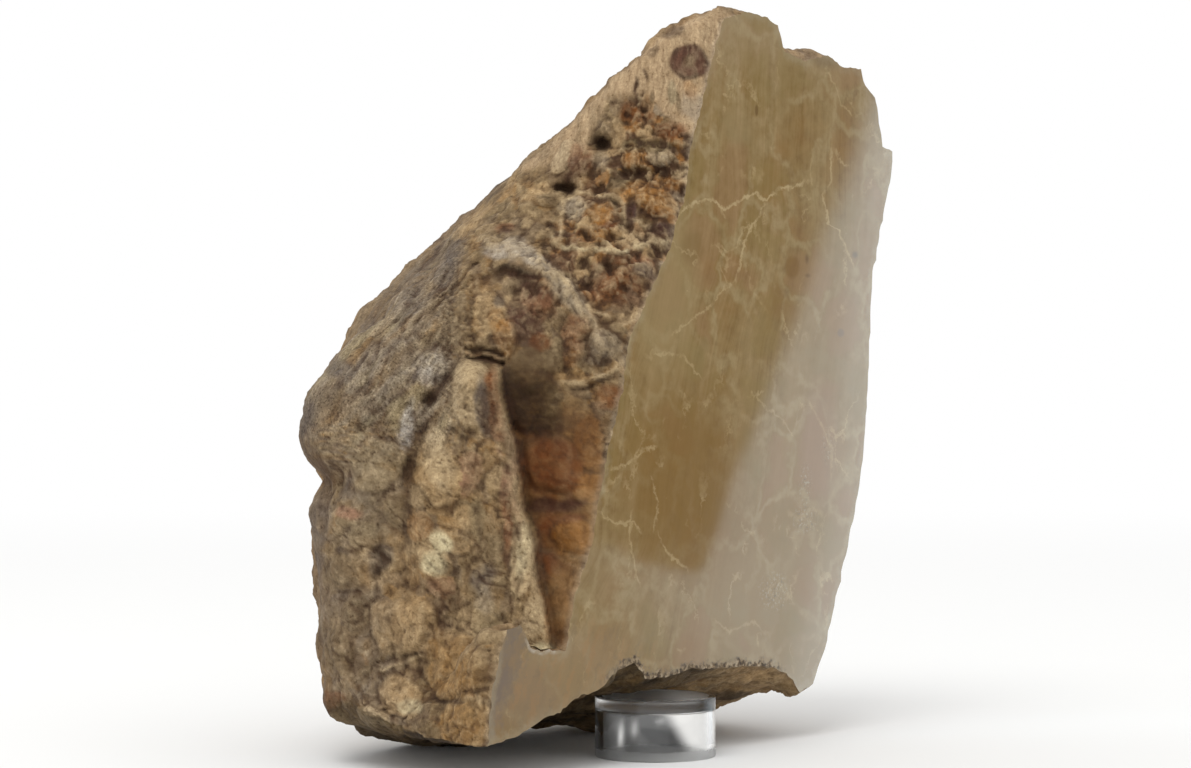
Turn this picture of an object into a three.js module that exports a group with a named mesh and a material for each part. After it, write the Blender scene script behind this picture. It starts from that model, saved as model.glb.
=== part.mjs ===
import * as THREE from 'three';

// A block of stromatolite with one sawn and polished face. The rest of the stone is its natural rough rind.
// It stands on a keel at its back, and a short clear riser props up its front edge.
// Millimetres, +Z up. The polished face lies in the plane Y = 0 and looks toward -Y. X runs to the right
// along the face, Y goes back into the stone, and Z = 0 is the surface that everything stands on.

// ---------------------------------------------------------------------------------------------------
// Driving dimensions
// ---------------------------------------------------------------------------------------------------

const RISER_DIAMETER = 25.4;
const RISER_HEIGHT = 12.7;
const RISER_WALL = 1.7;
const RISER_TOP_THICKNESS = 2.7;
const RISER_EDGE = 0.5;
const RISER_CENTRE = { x: 7, y: 6 };
const RISER_SEGMENTS = 64;
const RESTING_GAP = 0.3;
const RESTING_PAD_MARGIN = 5;

// Outline of the polished face, clockwise from its lower left corner, as [x, z].
// Each row starts at a station, and every ring behind the face has one point for each station.
const FACE_OUTLINE = [
  [[-53, 7.5], [-51.5, 17], [-49.5, 25], [-47, 30.5], [-42.5, 31.5], [-39.5, 26.5]],
  [[-29, 25], [-27, 35], [-21.5, 46], [-19, 55], [-15, 67]],
  [[-12, 77], [-9, 88], [-1.5, 99], [4, 107]],
  [[8.5, 117], [11, 128], [15, 138], [18.5, 148], [22, 155.5]],
  [[29, 159], [37.5, 158.5], [42.5, 157], [45, 151.5], [51.5, 150.5], [61, 152], [67.5, 150]],
  [[74, 150], [76, 146.5], [80, 144], [81.5, 138], [83, 133], [87, 132], [86.5, 127], [83, 117]],
  [[79, 104], [78, 90], [77, 75], [75, 61]],
  [[71, 47.5], [66, 34], [61, 21], [55.5, 11.5]],
  [[50.5, 10], [46, 14], [39.5, 16], [26.5, 17.5], [14.5, 18]],
  [[5, 17], [-4, 17], [-7.5, 20.5], [-12.5, 19.5], [-18.5, 15.5], [-26, 14.5]],
  [[-35.5, 11], [-44.5, 8.5]],
];

// Rings of the stone behind the face, one point for each station, as [x, y, z].
const SHOULDER_RING = [
  [-51, 24, 8.5], [-43, 22, 31], [-36, 20, 77], [-2, 18, 117], [16, 15, 149], [72, 18, 143.5],
  [84, 22, 104], [77, 22, 48], [60, 24, 7], [8, 24, 11], [-32, 24, 8.5],
];
const GIRTH_RING = [
  [-48, 44, 12], [-50.5, 44, 35], [-49.5, 43, 77.5], [-18.5, 41, 105], [15.5, 38, 132], [68, 42, 128],
  [80, 46, 98], [75, 44, 48], [59, 41, 0.5], [18, 47, 1.5], [-14, 50, -0.5],
];
const BACK_RING = [
  [-31, 59.5, 12], [-32, 65, 38], [-28, 66.5, 70], [-9, 66, 95], [16, 64, 106], [52, 61, 104],
  [62, 64, 84], [60, 67, 50], [50, 63, 13], [16, 67, 10], [-6, 65, 6],
];
const BACK_POINT = [16, 80, 56];

// Grid of the rind: its spacing round the outline, and its rings from the face to the back point.
const ROUGH_SIDE_STEP = 3;
const PLAIN_SIDE_STEP = 6;
const ROUGH_SIDE_STATIONS = 4;
const RINGS_TO_GIRTH = 24;
const RINGS_TO_BACK = 12;

const ROCK_COLOUR = 0x8a7454;
const RISER_COLOUR = 0xdfe6e8;

// ---------------------------------------------------------------------------------------------------
// Small maths
// ---------------------------------------------------------------------------------------------------

function smooth(from, to, value) {
  return THREE.MathUtils.smoothstep(value, from, to);
}

function catmullRom(a, b, c, d, t) {
  return a.map((_, i) => 0.5 * (
    2 * b[i] + (c[i] - a[i]) * t
    + (2 * a[i] - 5 * b[i] + 4 * c[i] - d[i]) * t * t
    + (3 * b[i] - a[i] - 3 * c[i] + d[i]) * t * t * t
  ));
}

// A fixed number between 0 and 1 for each lattice cell.
function cellNumber(ix, iy, iz, salt) {
  let h = Math.imul(ix, 374761393) ^ Math.imul(iy, 668265263) ^ Math.imul(iz, 1274126177);
  h = Math.imul(h ^ Math.imul(salt, 974634777), 1103515245);
  h = Math.imul(h ^ (h >>> 13), 1274126177);
  h ^= h >>> 16;
  return (h >>> 0) / 4294967296;
}

// Smooth swells between -1 and 1: lattice numbers blended along the three axes.
function swell([x, y, z], size, salt) {
  const [px, py, pz] = [x / size, y / size, z / size];
  const [ix, iy, iz] = [Math.floor(px), Math.floor(py), Math.floor(pz)];
  const [fx, fy, fz] = [smooth(0, 1, px - ix), smooth(0, 1, py - iy), smooth(0, 1, pz - iz)];
  let total = 0;
  for (const [dx, wx] of [[0, 1 - fx], [1, fx]]) {
    for (const [dy, wy] of [[0, 1 - fy], [1, fy]]) {
      for (const [dz, wz] of [[0, 1 - fz], [1, fz]]) {
        total += wx * wy * wz * cellNumber(ix + dx, iy + dy, iz + dz, salt);
      }
    }
  }
  return 2 * total - 1;
}

// Rounded lumps between 0 and 1: a dome on the nearest of the scattered centres, one centre to a cell.
function lumps([x, y, z], size, salt) {
  const [px, py, pz] = [x / size, y / size, z / size];
  const [ix, iy, iz] = [Math.floor(px), Math.floor(py), Math.floor(pz)];
  let nearest = Infinity;
  for (let dx = -1; dx <= 1; dx += 1) {
    for (let dy = -1; dy <= 1; dy += 1) {
      for (let dz = -1; dz <= 1; dz += 1) {
        const [cx, cy, cz] = [ix + dx, iy + dy, iz + dz];
        const squared = (cx + cellNumber(cx, cy, cz, salt) - px) ** 2
          + (cy + cellNumber(cx, cy, cz, salt + 1) - py) ** 2
          + (cz + cellNumber(cx, cy, cz, salt + 2) - pz) ** 2;
        nearest = Math.min(nearest, squared);
      }
    }
  }
  return Math.sqrt(Math.max(0, 1 - nearest));
}

// ---------------------------------------------------------------------------------------------------
// The bare block: rings from the face outline to the back point
// ---------------------------------------------------------------------------------------------------

// The outline from one station to the next: its corners, the lengths between them and their sum.
const OUTLINE_RUNS = FACE_OUTLINE.map((row, station) => {
  const corners = [...row, FACE_OUTLINE[(station + 1) % FACE_OUTLINE.length][0]];
  const lengths = row.map(([x, z], i) => Math.hypot(corners[i + 1][0] - x, corners[i + 1][1] - z));
  return { corners, lengths, whole: lengths.reduce((sum, length) => sum + length, 0) };
});

// Places of the outline's vertices: every corner, and even steps between corners.
function outlinePlaces() {
  const places = [];
  OUTLINE_RUNS.forEach(({ lengths, whole }, station) => {
    const step = station < ROUGH_SIDE_STATIONS ? ROUGH_SIDE_STEP : PLAIN_SIDE_STEP;
    let gone = 0;
    for (const length of lengths) {
      const parts = Math.max(1, Math.round(length / step));
      for (let k = 0; k < parts; k += 1) {
        places.push(station + (gone + (length * k) / parts) / whole);
      }
      gone += length;
    }
  });
  return places;
}

function onRing(ring, place) {
  const station = Math.floor(place);
  const at = (i) => ring[(i + ring.length) % ring.length];
  return catmullRom(at(station - 1), at(station), at(station + 1), at(station + 2), place - station);
}

function onOutline(place) {
  const wrapped = (place + FACE_OUTLINE.length) % FACE_OUTLINE.length;
  const { corners, lengths, whole } = OUTLINE_RUNS[Math.floor(wrapped)];
  let left = (wrapped % 1) * whole;
  let i = 0;
  while (i < lengths.length - 1 && left > lengths[i]) {
    left -= lengths[i];
    i += 1;
  }
  const t = left / lengths[i];
  const [[x, z], [nextX, nextZ]] = [corners[i], corners[i + 1]];
  return [x + (nextX - x) * t, 0, z + (nextZ - z) * t];
}

// A point of the bare block: place runs round the stations, depth from 0 at the face to 4 at the back.
function barePoint(place, depth) {
  const face = onOutline(place);
  const shoulder = onRing(SHOULDER_RING, place);
  const girth = onRing(GIRTH_RING, place);
  const back = onRing(BACK_RING, place);
  const beforeFace = face.map((v, i) => 2 * v - shoulder[i]);
  const beyondBack = [2 * BACK_POINT[0] - back[0], back[1], 2 * BACK_POINT[2] - back[2]];
  const rings = [beforeFace, face, shoulder, girth, back, BACK_POINT, beyondBack];
  const k = Math.min(Math.floor(depth), 3);
  return catmullRom(rings[k], rings[k + 1], rings[k + 2], rings[k + 3], depth - k);
}

const PROBE = 0.02;

function bareNormal(place, depth) {
  const round = new THREE.Vector3(...barePoint(place + PROBE, depth))
    .sub(new THREE.Vector3(...barePoint(place - PROBE, depth)));
  const inward = new THREE.Vector3(...barePoint(place, Math.min(depth + PROBE, 4)))
    .sub(new THREE.Vector3(...barePoint(place, depth - PROBE)));
  return round.cross(inward).normalize();
}

// ---------------------------------------------------------------------------------------------------
// The rough flank: what stands proud of the bare block and what is sunk into it
// ---------------------------------------------------------------------------------------------------

// The rough flank faces this far round to the left of the polished face's own direction.
const FLANK_TURN = THREE.MathUtils.degToRad(50);
const FLANK_OUT = [-Math.sin(FLANK_TURN), -Math.cos(FLANK_TURN), 0];

// The long rib: its right side is a cliff that leans left as it rises.
const RIB = {
  height: 3.6, bottom: 24, top: 82,
  cliffFoot: -21.3, cliffLean: -0.185, cliffSpread: 1.8,
  leftFoot: -49, leftTop: -39.5, leftLean: 0.39,
};
// The crevice to the right of the cliff.
const CREVICE = { depth: 5, width: 12, bottom: 24, top: 78 };
// The arched ridge above it, as [across, z], and the hollow below the arch.
const ARCH = { line: [[-34.5, 107], [-23, 101], [-13.5, 89.5], [-7.5, 81]], height: 2.2, halfWidth: 2.6 };
const HOLLOW = { across: -22, z: 92, radius: 9, depth: 2.4 };
// Single lumps and pits of the flank, as [across, z, radius, height].
const KNOBS = [
  [-52, 31, 7, 2.6], [-58, 11, 5, 2.2], [-41, 24, 8, 2.6], [-46, 45, 6, 2], [-61, 52, 8, 2],
  [-13.5, 113.5, 6, 2], [-12, 130, 3, -2.4], [-18.5, 120, 3, -2.4], [-36.5, 83.5, 4, -1.6],
  [-48, 12, 6, 2], [-64, 26, 7, 1.8], [-7, 118, 4, 1.6], [-3, 133, 5, -1.2],
];
// Lumps and hollows beyond the flank, as [x, y, z, radius, height]: the bulge at the left end, the notch
// under it, the heel below that, the brow over the flank's top, and the swell and dip of its back edge.
const OVERHANG = [
  [-52, 46, 70, 13, 2.2], [-51, 44, 58, 5.5, -6], [-48, 52, 58, 5.5, -5], [-42, 60, 58, 6, -4],
  [-42, 58, 28, 8, -1.2], [-47, 47, 12, 7, 2.5], [9, 16, 145, 8, 0.8],
  [-26, 58, 92, 10, 2.6], [-9, 54, 111, 8, -3],
];

function distanceToLine(line, x, y) {
  let nearest = Infinity;
  for (let i = 0; i + 1 < line.length; i += 1) {
    const [ax, ay] = line[i];
    const [bx, by] = line[i + 1];
    const t = ((x - ax) * (bx - ax) + (y - ay) * (by - ay)) / ((bx - ax) ** 2 + (by - ay) ** 2);
    const c = THREE.MathUtils.clamp(t, 0, 1);
    nearest = Math.min(nearest, Math.hypot(ax + (bx - ax) * c - x, ay + (by - ay) * c - y));
  }
  return nearest;
}

function bell(distance, radius) {
  return Math.exp(-2 * (distance / radius) ** 2);
}

function flankRelief(across, z) {
  const cliff = RIB.cliffFoot + (z - RIB.bottom) * RIB.cliffLean;
  const pastCliff = smooth(cliff - RIB.cliffSpread, cliff + RIB.cliffSpread, across);
  const ribLeft = Math.max(RIB.leftFoot, RIB.leftTop + (z - RIB.top) * RIB.leftLean);
  const ribHere = smooth(ribLeft - 3, ribLeft + 2, across) * (1 - pastCliff)
    * smooth(RIB.bottom - 4, RIB.bottom + 4, z) * (1 - smooth(RIB.top - 1, RIB.top + 2, z));
  const creviceHere = pastCliff * (1 - smooth(cliff + CREVICE.width * 0.3, cliff + CREVICE.width, across))
    * smooth(CREVICE.bottom - 2, CREVICE.bottom + 6, z)
    * (1 - smooth(CREVICE.top - 6, CREVICE.top + 6, z));
  let relief = RIB.height * ribHere - CREVICE.depth * creviceHere;
  relief += ARCH.height * bell(distanceToLine(ARCH.line, across, z), ARCH.halfWidth);
  relief -= HOLLOW.depth * bell(Math.hypot(across - HOLLOW.across, z - HOLLOW.z), HOLLOW.radius);
  for (const [knobAcross, knobZ, radius, height] of KNOBS) {
    relief += height * bell(Math.hypot(across - knobAcross, z - knobZ), radius);
  }
  return relief;
}

// ---------------------------------------------------------------------------------------------------
// The finished surface of the stone
// ---------------------------------------------------------------------------------------------------

const BLOCK_SWELL = { size: 26, height: 2.4 };
const FINE_SWELL = { size: 9, height: 1 };
const RIND_LUMPS = { size: 9, height: 2.2 };
const RIM_FADE = 5;

function rockPoint(place, depth) {
  const bare = barePoint(place, depth);
  if (depth === 0) {
    return bare;
  }
  const normal = depth < 4 ? bareNormal(place, depth) : new THREE.Vector3(0, 1, 0);
  const rim = onOutline(place);
  const fromRim = Math.hypot(bare[0] - rim[0], bare[1] - rim[1], bare[2] - rim[2]);
  const fade = smooth(0, RIM_FADE, fromRim);
  const facing = -(normal.x * Math.sin(FLANK_TURN) + normal.y * Math.cos(FLANK_TURN));
  const onFlank = smooth(0, 0.35, facing);
  const across = bare[0] * Math.cos(FLANK_TURN) - bare[1] * Math.sin(FLANK_TURN);
  let push = BLOCK_SWELL.height * swell(bare, BLOCK_SWELL.size, 11)
    + FINE_SWELL.height * swell(bare, FINE_SWELL.size, 23)
    + RIND_LUMPS.height * (lumps(bare, RIND_LUMPS.size, 5) - 0.6);
  for (const [x, y, z, radius, height] of OVERHANG) {
    push += height * bell(Math.hypot(bare[0] - x, bare[1] - y, bare[2] - z), radius);
  }
  const relief = onFlank * flankRelief(across, bare[2]);
  const point = bare.map((v, i) => v + fade * (push * normal.getComponent(i) + relief * FLANK_OUT[i]));
  return settle(point);
}

// The stone is flat where it rests: on the ground, and on the riser's top.
function settle([x, y, z]) {
  const fromRiser = Math.hypot(x - RISER_CENTRE.x, y - RISER_CENTRE.y);
  const pad = RISER_DIAMETER / 2 + RESTING_PAD_MARGIN;
  const padHeight = RISER_HEIGHT + RESTING_GAP;
  const lowest = padHeight * (1 - smooth(pad, pad + 14, fromRiser));
  return [x, y, Math.max(z, lowest)];
}

function stromatoliteRock() {
  const places = outlinePlaces();
  const depths = [];
  for (let i = 0; i <= RINGS_TO_GIRTH; i += 1) {
    depths.push(2 * (i / RINGS_TO_GIRTH));
  }
  for (let i = 1; i < RINGS_TO_BACK; i += 1) {
    depths.push(2 + 2 * (i / RINGS_TO_BACK));
  }
  const positions = [];
  for (const depth of depths) {
    for (const place of places) {
      positions.push(...rockPoint(place, depth));
    }
  }
  positions.push(...rockPoint(0, 4));

  const triangles = [];
  const count = places.length;
  const gap = (a, b) => Math.hypot(...[0, 1, 2].map((i) => positions[3 * a + i] - positions[3 * b + i]));
  for (let i = 0; i + 1 < depths.length; i += 1) {
    for (let j = 0; j < count; j += 1) {
      const k = (j + 1) % count;
      const [a, b, c, d] = [i * count + j, i * count + k, (i + 1) * count + j, (i + 1) * count + k];
      if (gap(a, d) < gap(b, c)) {
        triangles.push(a, b, d, a, d, c);
      } else {
        triangles.push(a, b, c, b, d, c);
      }
    }
  }
  const lastRing = (depths.length - 1) * count;
  const backPoint = depths.length * count;
  for (let j = 0; j < count; j += 1) {
    triangles.push(lastRing + j, lastRing + ((j + 1) % count), backPoint);
  }

  const contour = places.map(onOutline).map(([x, , z]) => new THREE.Vector2(x, z)).reverse();
  for (const [a, b, c] of THREE.ShapeUtils.triangulateShape(contour, [])) {
    triangles.push(count - 1 - a, count - 1 - b, count - 1 - c);
  }

  const geometry = new THREE.BufferGeometry();
  geometry.setAttribute('position', new THREE.Float32BufferAttribute(positions, 3));
  geometry.setIndex(triangles);
  geometry.computeVertexNormals();
  const material = new THREE.MeshStandardMaterial({ color: ROCK_COLOUR, roughness: 0.8, metalness: 0 });
  const mesh = new THREE.Mesh(geometry, material);
  mesh.name = 'stromatolite_rock';
  return mesh;
}

// ---------------------------------------------------------------------------------------------------
// The riser: an inverted cup, turned about its upright axis
// ---------------------------------------------------------------------------------------------------

function acrylicRiser() {
  const outer = RISER_DIAMETER / 2;
  const inner = outer - RISER_WALL;
  const ceiling = RISER_HEIGHT - RISER_TOP_THICKNESS;
  const profile = [
    [0, ceiling], [inner, ceiling], [inner, 0], [outer - RISER_EDGE, 0], [outer, RISER_EDGE],
    [outer, RISER_HEIGHT - RISER_EDGE], [outer - RISER_EDGE, RISER_HEIGHT], [0, RISER_HEIGHT],
  ].map(([radius, height]) => new THREE.Vector2(radius, height));
  const geometry = new THREE.LatheGeometry(profile, RISER_SEGMENTS);
  const material = new THREE.MeshStandardMaterial({ color: RISER_COLOUR, roughness: 0.1, metalness: 0 });
  const mesh = new THREE.Mesh(geometry, material);
  mesh.name = 'acrylic_riser';
  mesh.rotation.x = Math.PI / 2;
  mesh.position.set(RISER_CENTRE.x, RISER_CENTRE.y, 0);
  return mesh;
}

const group = new THREE.Group();
group.add(stromatoliteRock());
group.add(acrylicRiser());

// The finished group stands with the middle of its bounding box's base at the origin.
const bounds = new THREE.Box3().setFromObject(group, true);
const middle = bounds.getCenter(new THREE.Vector3());
group.position.set(-middle.x, -middle.y, 0);

export default group;
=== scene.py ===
# %% [markdown]
# # A polished stromatolite on its clear riser
# A stromatolite is a stone laid down by mats of microbes, one thin film over another. This one is a thick
# wedge-shaped block. One side is sawn flat and polished, and the rest keeps its rough natural rind.
# It stands on a keel at its back, and a short clear acrylic riser props up its front edge.
# The packed model gives the size and the place of everything, so it is loaded first.

import math

import bpy
import numpy as np
from mathutils import Matrix, Vector
from mathutils.geometry import delaunay_2d_cdt


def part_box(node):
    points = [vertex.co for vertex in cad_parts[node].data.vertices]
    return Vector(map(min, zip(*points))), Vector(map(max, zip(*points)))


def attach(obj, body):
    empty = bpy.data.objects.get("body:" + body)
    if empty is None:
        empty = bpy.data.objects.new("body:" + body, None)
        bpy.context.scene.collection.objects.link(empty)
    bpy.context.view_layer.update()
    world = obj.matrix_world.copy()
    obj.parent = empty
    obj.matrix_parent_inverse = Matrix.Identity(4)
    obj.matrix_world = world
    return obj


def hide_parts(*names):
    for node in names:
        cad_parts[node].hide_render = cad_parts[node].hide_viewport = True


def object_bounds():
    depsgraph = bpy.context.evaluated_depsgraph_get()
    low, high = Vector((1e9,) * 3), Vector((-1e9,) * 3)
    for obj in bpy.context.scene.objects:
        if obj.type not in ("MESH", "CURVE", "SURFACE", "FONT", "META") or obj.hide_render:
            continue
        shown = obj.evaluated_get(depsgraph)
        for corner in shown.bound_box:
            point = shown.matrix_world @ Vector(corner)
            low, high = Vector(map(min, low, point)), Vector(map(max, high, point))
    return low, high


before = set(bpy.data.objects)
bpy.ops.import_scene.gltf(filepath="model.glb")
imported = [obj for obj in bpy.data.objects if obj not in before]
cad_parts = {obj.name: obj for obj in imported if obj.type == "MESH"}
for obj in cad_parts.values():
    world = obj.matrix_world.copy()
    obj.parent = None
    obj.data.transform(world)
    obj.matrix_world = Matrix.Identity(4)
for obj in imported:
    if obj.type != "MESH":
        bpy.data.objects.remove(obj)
cad_low, cad_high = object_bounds()
print("CAD box in metres:", list(cad_low), list(cad_high))

# %% [markdown]
# ## One set of axes for the stone
# The stone is worked out in millimetres, in axes of its own: the polished face is the plane y = 0 and looks
# toward -y, x runs to the right along it, y goes back into the stone, and z = 0 is the table. The frame's
# metres would do as well, but short numbers are easier to check against a ruler.
# The riser's centre is known in both sets of axes, so the riser's box gives the shift between them.

# %% Millimetres, and the shift to the frame
MM = 0.001
RISER_CENTRE = np.array([7.0, 6.0])
RISER_RADIUS = 12.7
RISER_HEIGHT = 12.7
BOX_MARGIN = 0.05
riser_low, riser_high = (np.array(corner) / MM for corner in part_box("acrylic_riser"))
SHIFT = np.append((riser_low[:2] + riser_high[:2]) / 2 - RISER_CENTRE, 0)
BOX_LOW = np.array(cad_low) / MM - SHIFT + BOX_MARGIN
BOX_HIGH = np.array(cad_high) / MM - SHIFT - BOX_MARGIN
print("shift to the frame in mm:", SHIFT)

# %% [markdown]
# ## The bare block
# The block could be cut from a cube, but then its outline would have to be carved. Here it is a loft: the
# measured outline of the polished face comes first, and three rings of points behind it lead to one point at
# the back. A Catmull-Rom curve passes through all of its points, so it carries the skin both round the rings
# and from ring to ring.

# %% Outline of the polished face: corners as (x, z), one row for each station
FACE_OUTLINE = [
    [[-53, 7.5], [-51.5, 17], [-49.5, 25], [-47, 30.5], [-42.5, 31.5], [-39.5, 26.5]],
    [[-29, 25], [-27, 35], [-21.5, 46], [-19, 55], [-15, 67]], [[-12, 77], [-9, 88], [-1.5, 99], [4, 107]],
    [[8.5, 117], [11, 128], [15, 138], [18.5, 148], [22, 155.5]],
    [[29, 159], [37.5, 158.5], [42.5, 157], [45, 151.5], [51.5, 150.5], [61, 152], [67.5, 150]],
    [[74, 150], [76, 146.5], [80, 144], [81.5, 138], [83, 133], [87, 132], [86.5, 127], [83, 117]],
    [[79, 104], [78, 90], [77, 75], [75, 61]], [[71, 47.5], [66, 34], [61, 21], [55.5, 11.5]],
    [[50.5, 10], [46, 14], [39.5, 16], [26.5, 17.5], [14.5, 18]],
    [[5, 17], [-4, 17], [-7.5, 20.5], [-12.5, 19.5], [-18.5, 15.5], [-26, 14.5]],
    [[-35.5, 11], [-44.5, 8.5]],
]
STATIONS = len(FACE_OUTLINE)
corners = np.array([corner for row in FACE_OUTLINE for corner in row], float)
sides = np.hypot(*(np.roll(corners, -1, axis=0) - corners).T)
print(STATIONS, "stations,", len(corners), "corners, outline in mm:", round(float(sides.sum()), 1))

# %% Rings behind the face: (x, y, z) at each station
SHOULDER_RING = np.array([
    [-51, 24, 8.5], [-43, 22, 31], [-36, 20, 77], [-2, 18, 117], [16, 15, 149], [72, 18, 143.5],
    [84, 22, 104], [77, 22, 48], [60, 24, 7], [8, 24, 11], [-32, 24, 8.5]], float)
GIRTH_RING = np.array([
    [-48, 44, 12], [-50.5, 44, 35], [-49.5, 43, 77.5], [-18.5, 41, 105], [15.5, 38, 132], [68, 42, 128],
    [80, 46, 98], [75, 44, 48], [59, 41, 0.5], [18, 47, 1.5], [-14, 50, -0.5]], float)
BACK_RING = np.array([
    [-31, 59.5, 12], [-32, 65, 38], [-28, 66.5, 70], [-9, 66, 95], [16, 64, 106], [52, 61, 104],
    [62, 64, 84], [60, 67, 50], [50, 63, 13], [16, 67, 10], [-6, 65, 6]], float)
BACK_POINT = np.array([16.0, 80.0, 56.0])
print("depth of the rings in mm:", [round(float(ring[:, 1].mean())) for ring in
                                    (SHOULDER_RING, GIRTH_RING, BACK_RING)])

# %% Where each corner lies, counted in stations
row_of_corner = np.repeat(np.arange(STATIONS), [len(row) for row in FACE_OUTLINE])
row_length = np.bincount(row_of_corner, sides)
row_start = np.cumsum(row_length) - row_length
along = np.cumsum(sides) - sides
corner_places = row_of_corner + (along - row_start[row_of_corner]) / row_length[row_of_corner]
print("first places:", corner_places[:8].round(2))


# %% Curves through the outline and the rings
def through(a, b, c, d, t):
    """The curve from b to c: half of 2b + (c - a)t + (2a - 5b + 4c - d)t^2 + (3b - a - 3c + d)t^3."""
    return 0.5 * (2 * b + (c - a) * t + (2 * a - 5 * b + 4 * c - d) * t ** 2
                  + (3 * b - a - 3 * c + d) * t ** 3)


def on_outline(place):
    """A point of the outline: straight from corner to corner, where a place counts the stations passed."""
    knots = np.append(corner_places, STATIONS)
    x, z = (np.interp(place % STATIONS, knots, np.append(column, column[0])) for column in corners.T)
    return np.stack([x, 0 * x, z], axis=-1)


def on_ring(ring, place):
    """A point of a ring: the curve through its stations at that place."""
    station = np.floor(place).astype(int)
    a, b, c, d = (ring[(station + step) % STATIONS] for step in (-1, 0, 1, 2))
    return through(a, b, c, d, (place - station)[..., None])


print("outline and girth at the first station:", on_outline(0.0), on_ring(GIRTH_RING, np.array(0.0)))


# %% The bare skin and its normal
PROBE = 0.02


def bare_point(place, depth):
    """The skin before any lump: depth 0 is the face, 1 the shoulder, 2 the girth, 3 the back, 4 its point."""
    place, depth = np.broadcast_arrays(place, depth)
    face, shoulder, girth, back = (on_outline(place), *(on_ring(ring, place)
                                   for ring in (SHOULDER_RING, GIRTH_RING, BACK_RING)))
    point = np.broadcast_to(BACK_POINT, face.shape)
    beyond = np.stack([2 * point[..., 0] - back[..., 0], back[..., 1],
                       2 * point[..., 2] - back[..., 2]], axis=-1)
    rings = np.stack([2 * face - shoulder, face, shoulder, girth, back, point, beyond])
    ring = np.minimum(np.floor(depth), 3).astype(int)
    a, b, c, d = (np.take_along_axis(rings, (ring + step)[None, ..., None], axis=0)[0]
                  for step in range(4))
    return through(a, b, c, d, (depth - ring)[..., None])


def bare_normal(place, depth):
    """The outward normal of the bare skin: the step round the rings crossed with the step into the stone."""
    round_step = bare_point(place + PROBE, depth) - bare_point(place - PROBE, depth)
    inward_step = (bare_point(place, np.minimum(depth + PROBE, 4))
                   - bare_point(place, np.maximum(depth - PROBE, 0)))
    normal = np.cross(round_step, inward_step)
    return normal / np.linalg.norm(normal, axis=-1, keepdims=True)


print("normal at the girth's left:", bare_normal(np.array(1.5), np.array(2.0)).round(2))

# %% [markdown]
# ## The grid of the skin
# The rough flank at the left shows the most, so its columns stand half a millimetre apart, and the other
# sides get wider steps. A hundred rings lead to the girth. Behind it the rings are further apart, and only
# every third of the close columns goes on, because the back is plain and a finer mesh would be wasted there.

# %% Columns, rings and the bare skin
COLUMN_STEP = np.array([0.5, 0.5, 0.5, 0.5, 1.0, 1.3, 2.0, 2.0, 1.0, 1.0, 1.3])
RINGS_TO_GIRTH = 100
RINGS_TO_BACK = 76
KEPT_BEHIND = 3
side_step = COLUMN_STEP[row_of_corner]
parts = np.maximum(1, np.round(sides / side_step)).astype(int)
start = np.repeat(corner_places, parts)
step = np.repeat(np.diff(np.append(corner_places, STATIONS)) / parts, parts)
count = np.arange(parts.sum()) - np.repeat(np.cumsum(parts) - parts, parts)
kept = np.flatnonzero((count % KEPT_BEHIND == 0) | (np.repeat(side_step, parts) > COLUMN_STEP.min()))
places = start + step * count
depths = np.concatenate([np.linspace(0, 2, RINGS_TO_GIRTH + 1),
                         np.linspace(2, 4, RINGS_TO_BACK + 1)[1:-1]])
bare = bare_point(places[None, :], depths[:, None])
normal = bare_normal(places[None, :], depths[:, None])
rim = on_outline(places)
from_rim = np.linalg.norm(bare - rim, axis=-1)
rings, columns = bare.shape[:2]
print("grid:", rings, "rings by", columns, "columns, of which", len(kept), "go on behind the girth")

# %% [markdown]
# ## Numbers for rock
# Rock needs chance that never changes from one run to the next. Blender has noise textures, but the model in
# the frame was made with its own, so the same ones are written out here: each cell of a lattice gets a fixed
# number, swells blend those numbers, and cells put one centre in each cell and measure the way to it.


# %% Lattice numbers and swells
def smooth(low, high, value):
    """Zero up to low, one from high on, and the S-curve t*t*(3 - 2t) between; low may be the larger one."""
    t = np.clip((value - low) / (high - low), 0, 1)
    return t * t * (3 - 2 * t)


def cell_number(ix, iy, iz, salt):
    """A fixed number from 0 to 1 for a cell: its counts times large primes, mixed by xor and shifts."""
    ix, iy, iz = (np.asarray(i).astype(np.int64).astype(np.uint32) for i in (ix, iy, iz))
    h = ix * np.uint32(374761393) ^ iy * np.uint32(668265263) ^ iz * np.uint32(1274126177)
    h = (h ^ np.uint32(salt * 974634777 % 2 ** 32)) * np.uint32(1103515245)
    h = (h ^ (h >> np.uint32(13))) * np.uint32(1274126177)
    return (h ^ (h >> np.uint32(16))) / 2 ** 32


def swell(p, size, salt):
    """Smooth swells from -1 to 1: the numbers of the eight lattice corners, blended by S-curves."""
    q = p / size
    low = np.floor(q)
    share = smooth(0, 1, q - low)
    total = 0
    for dx, dy, dz in np.ndindex(2, 2, 2):
        weight = np.prod(np.where([dx, dy, dz], share, 1 - share), axis=-1)
        total = total + weight * cell_number(low[..., 0] + dx, low[..., 1] + dy, low[..., 2] + dz, salt)
    return 2 * total - 1


print("swells of the rim from", swell(rim, 6, 93).min().round(2), "to", swell(rim, 6, 93).max().round(2))


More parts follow.
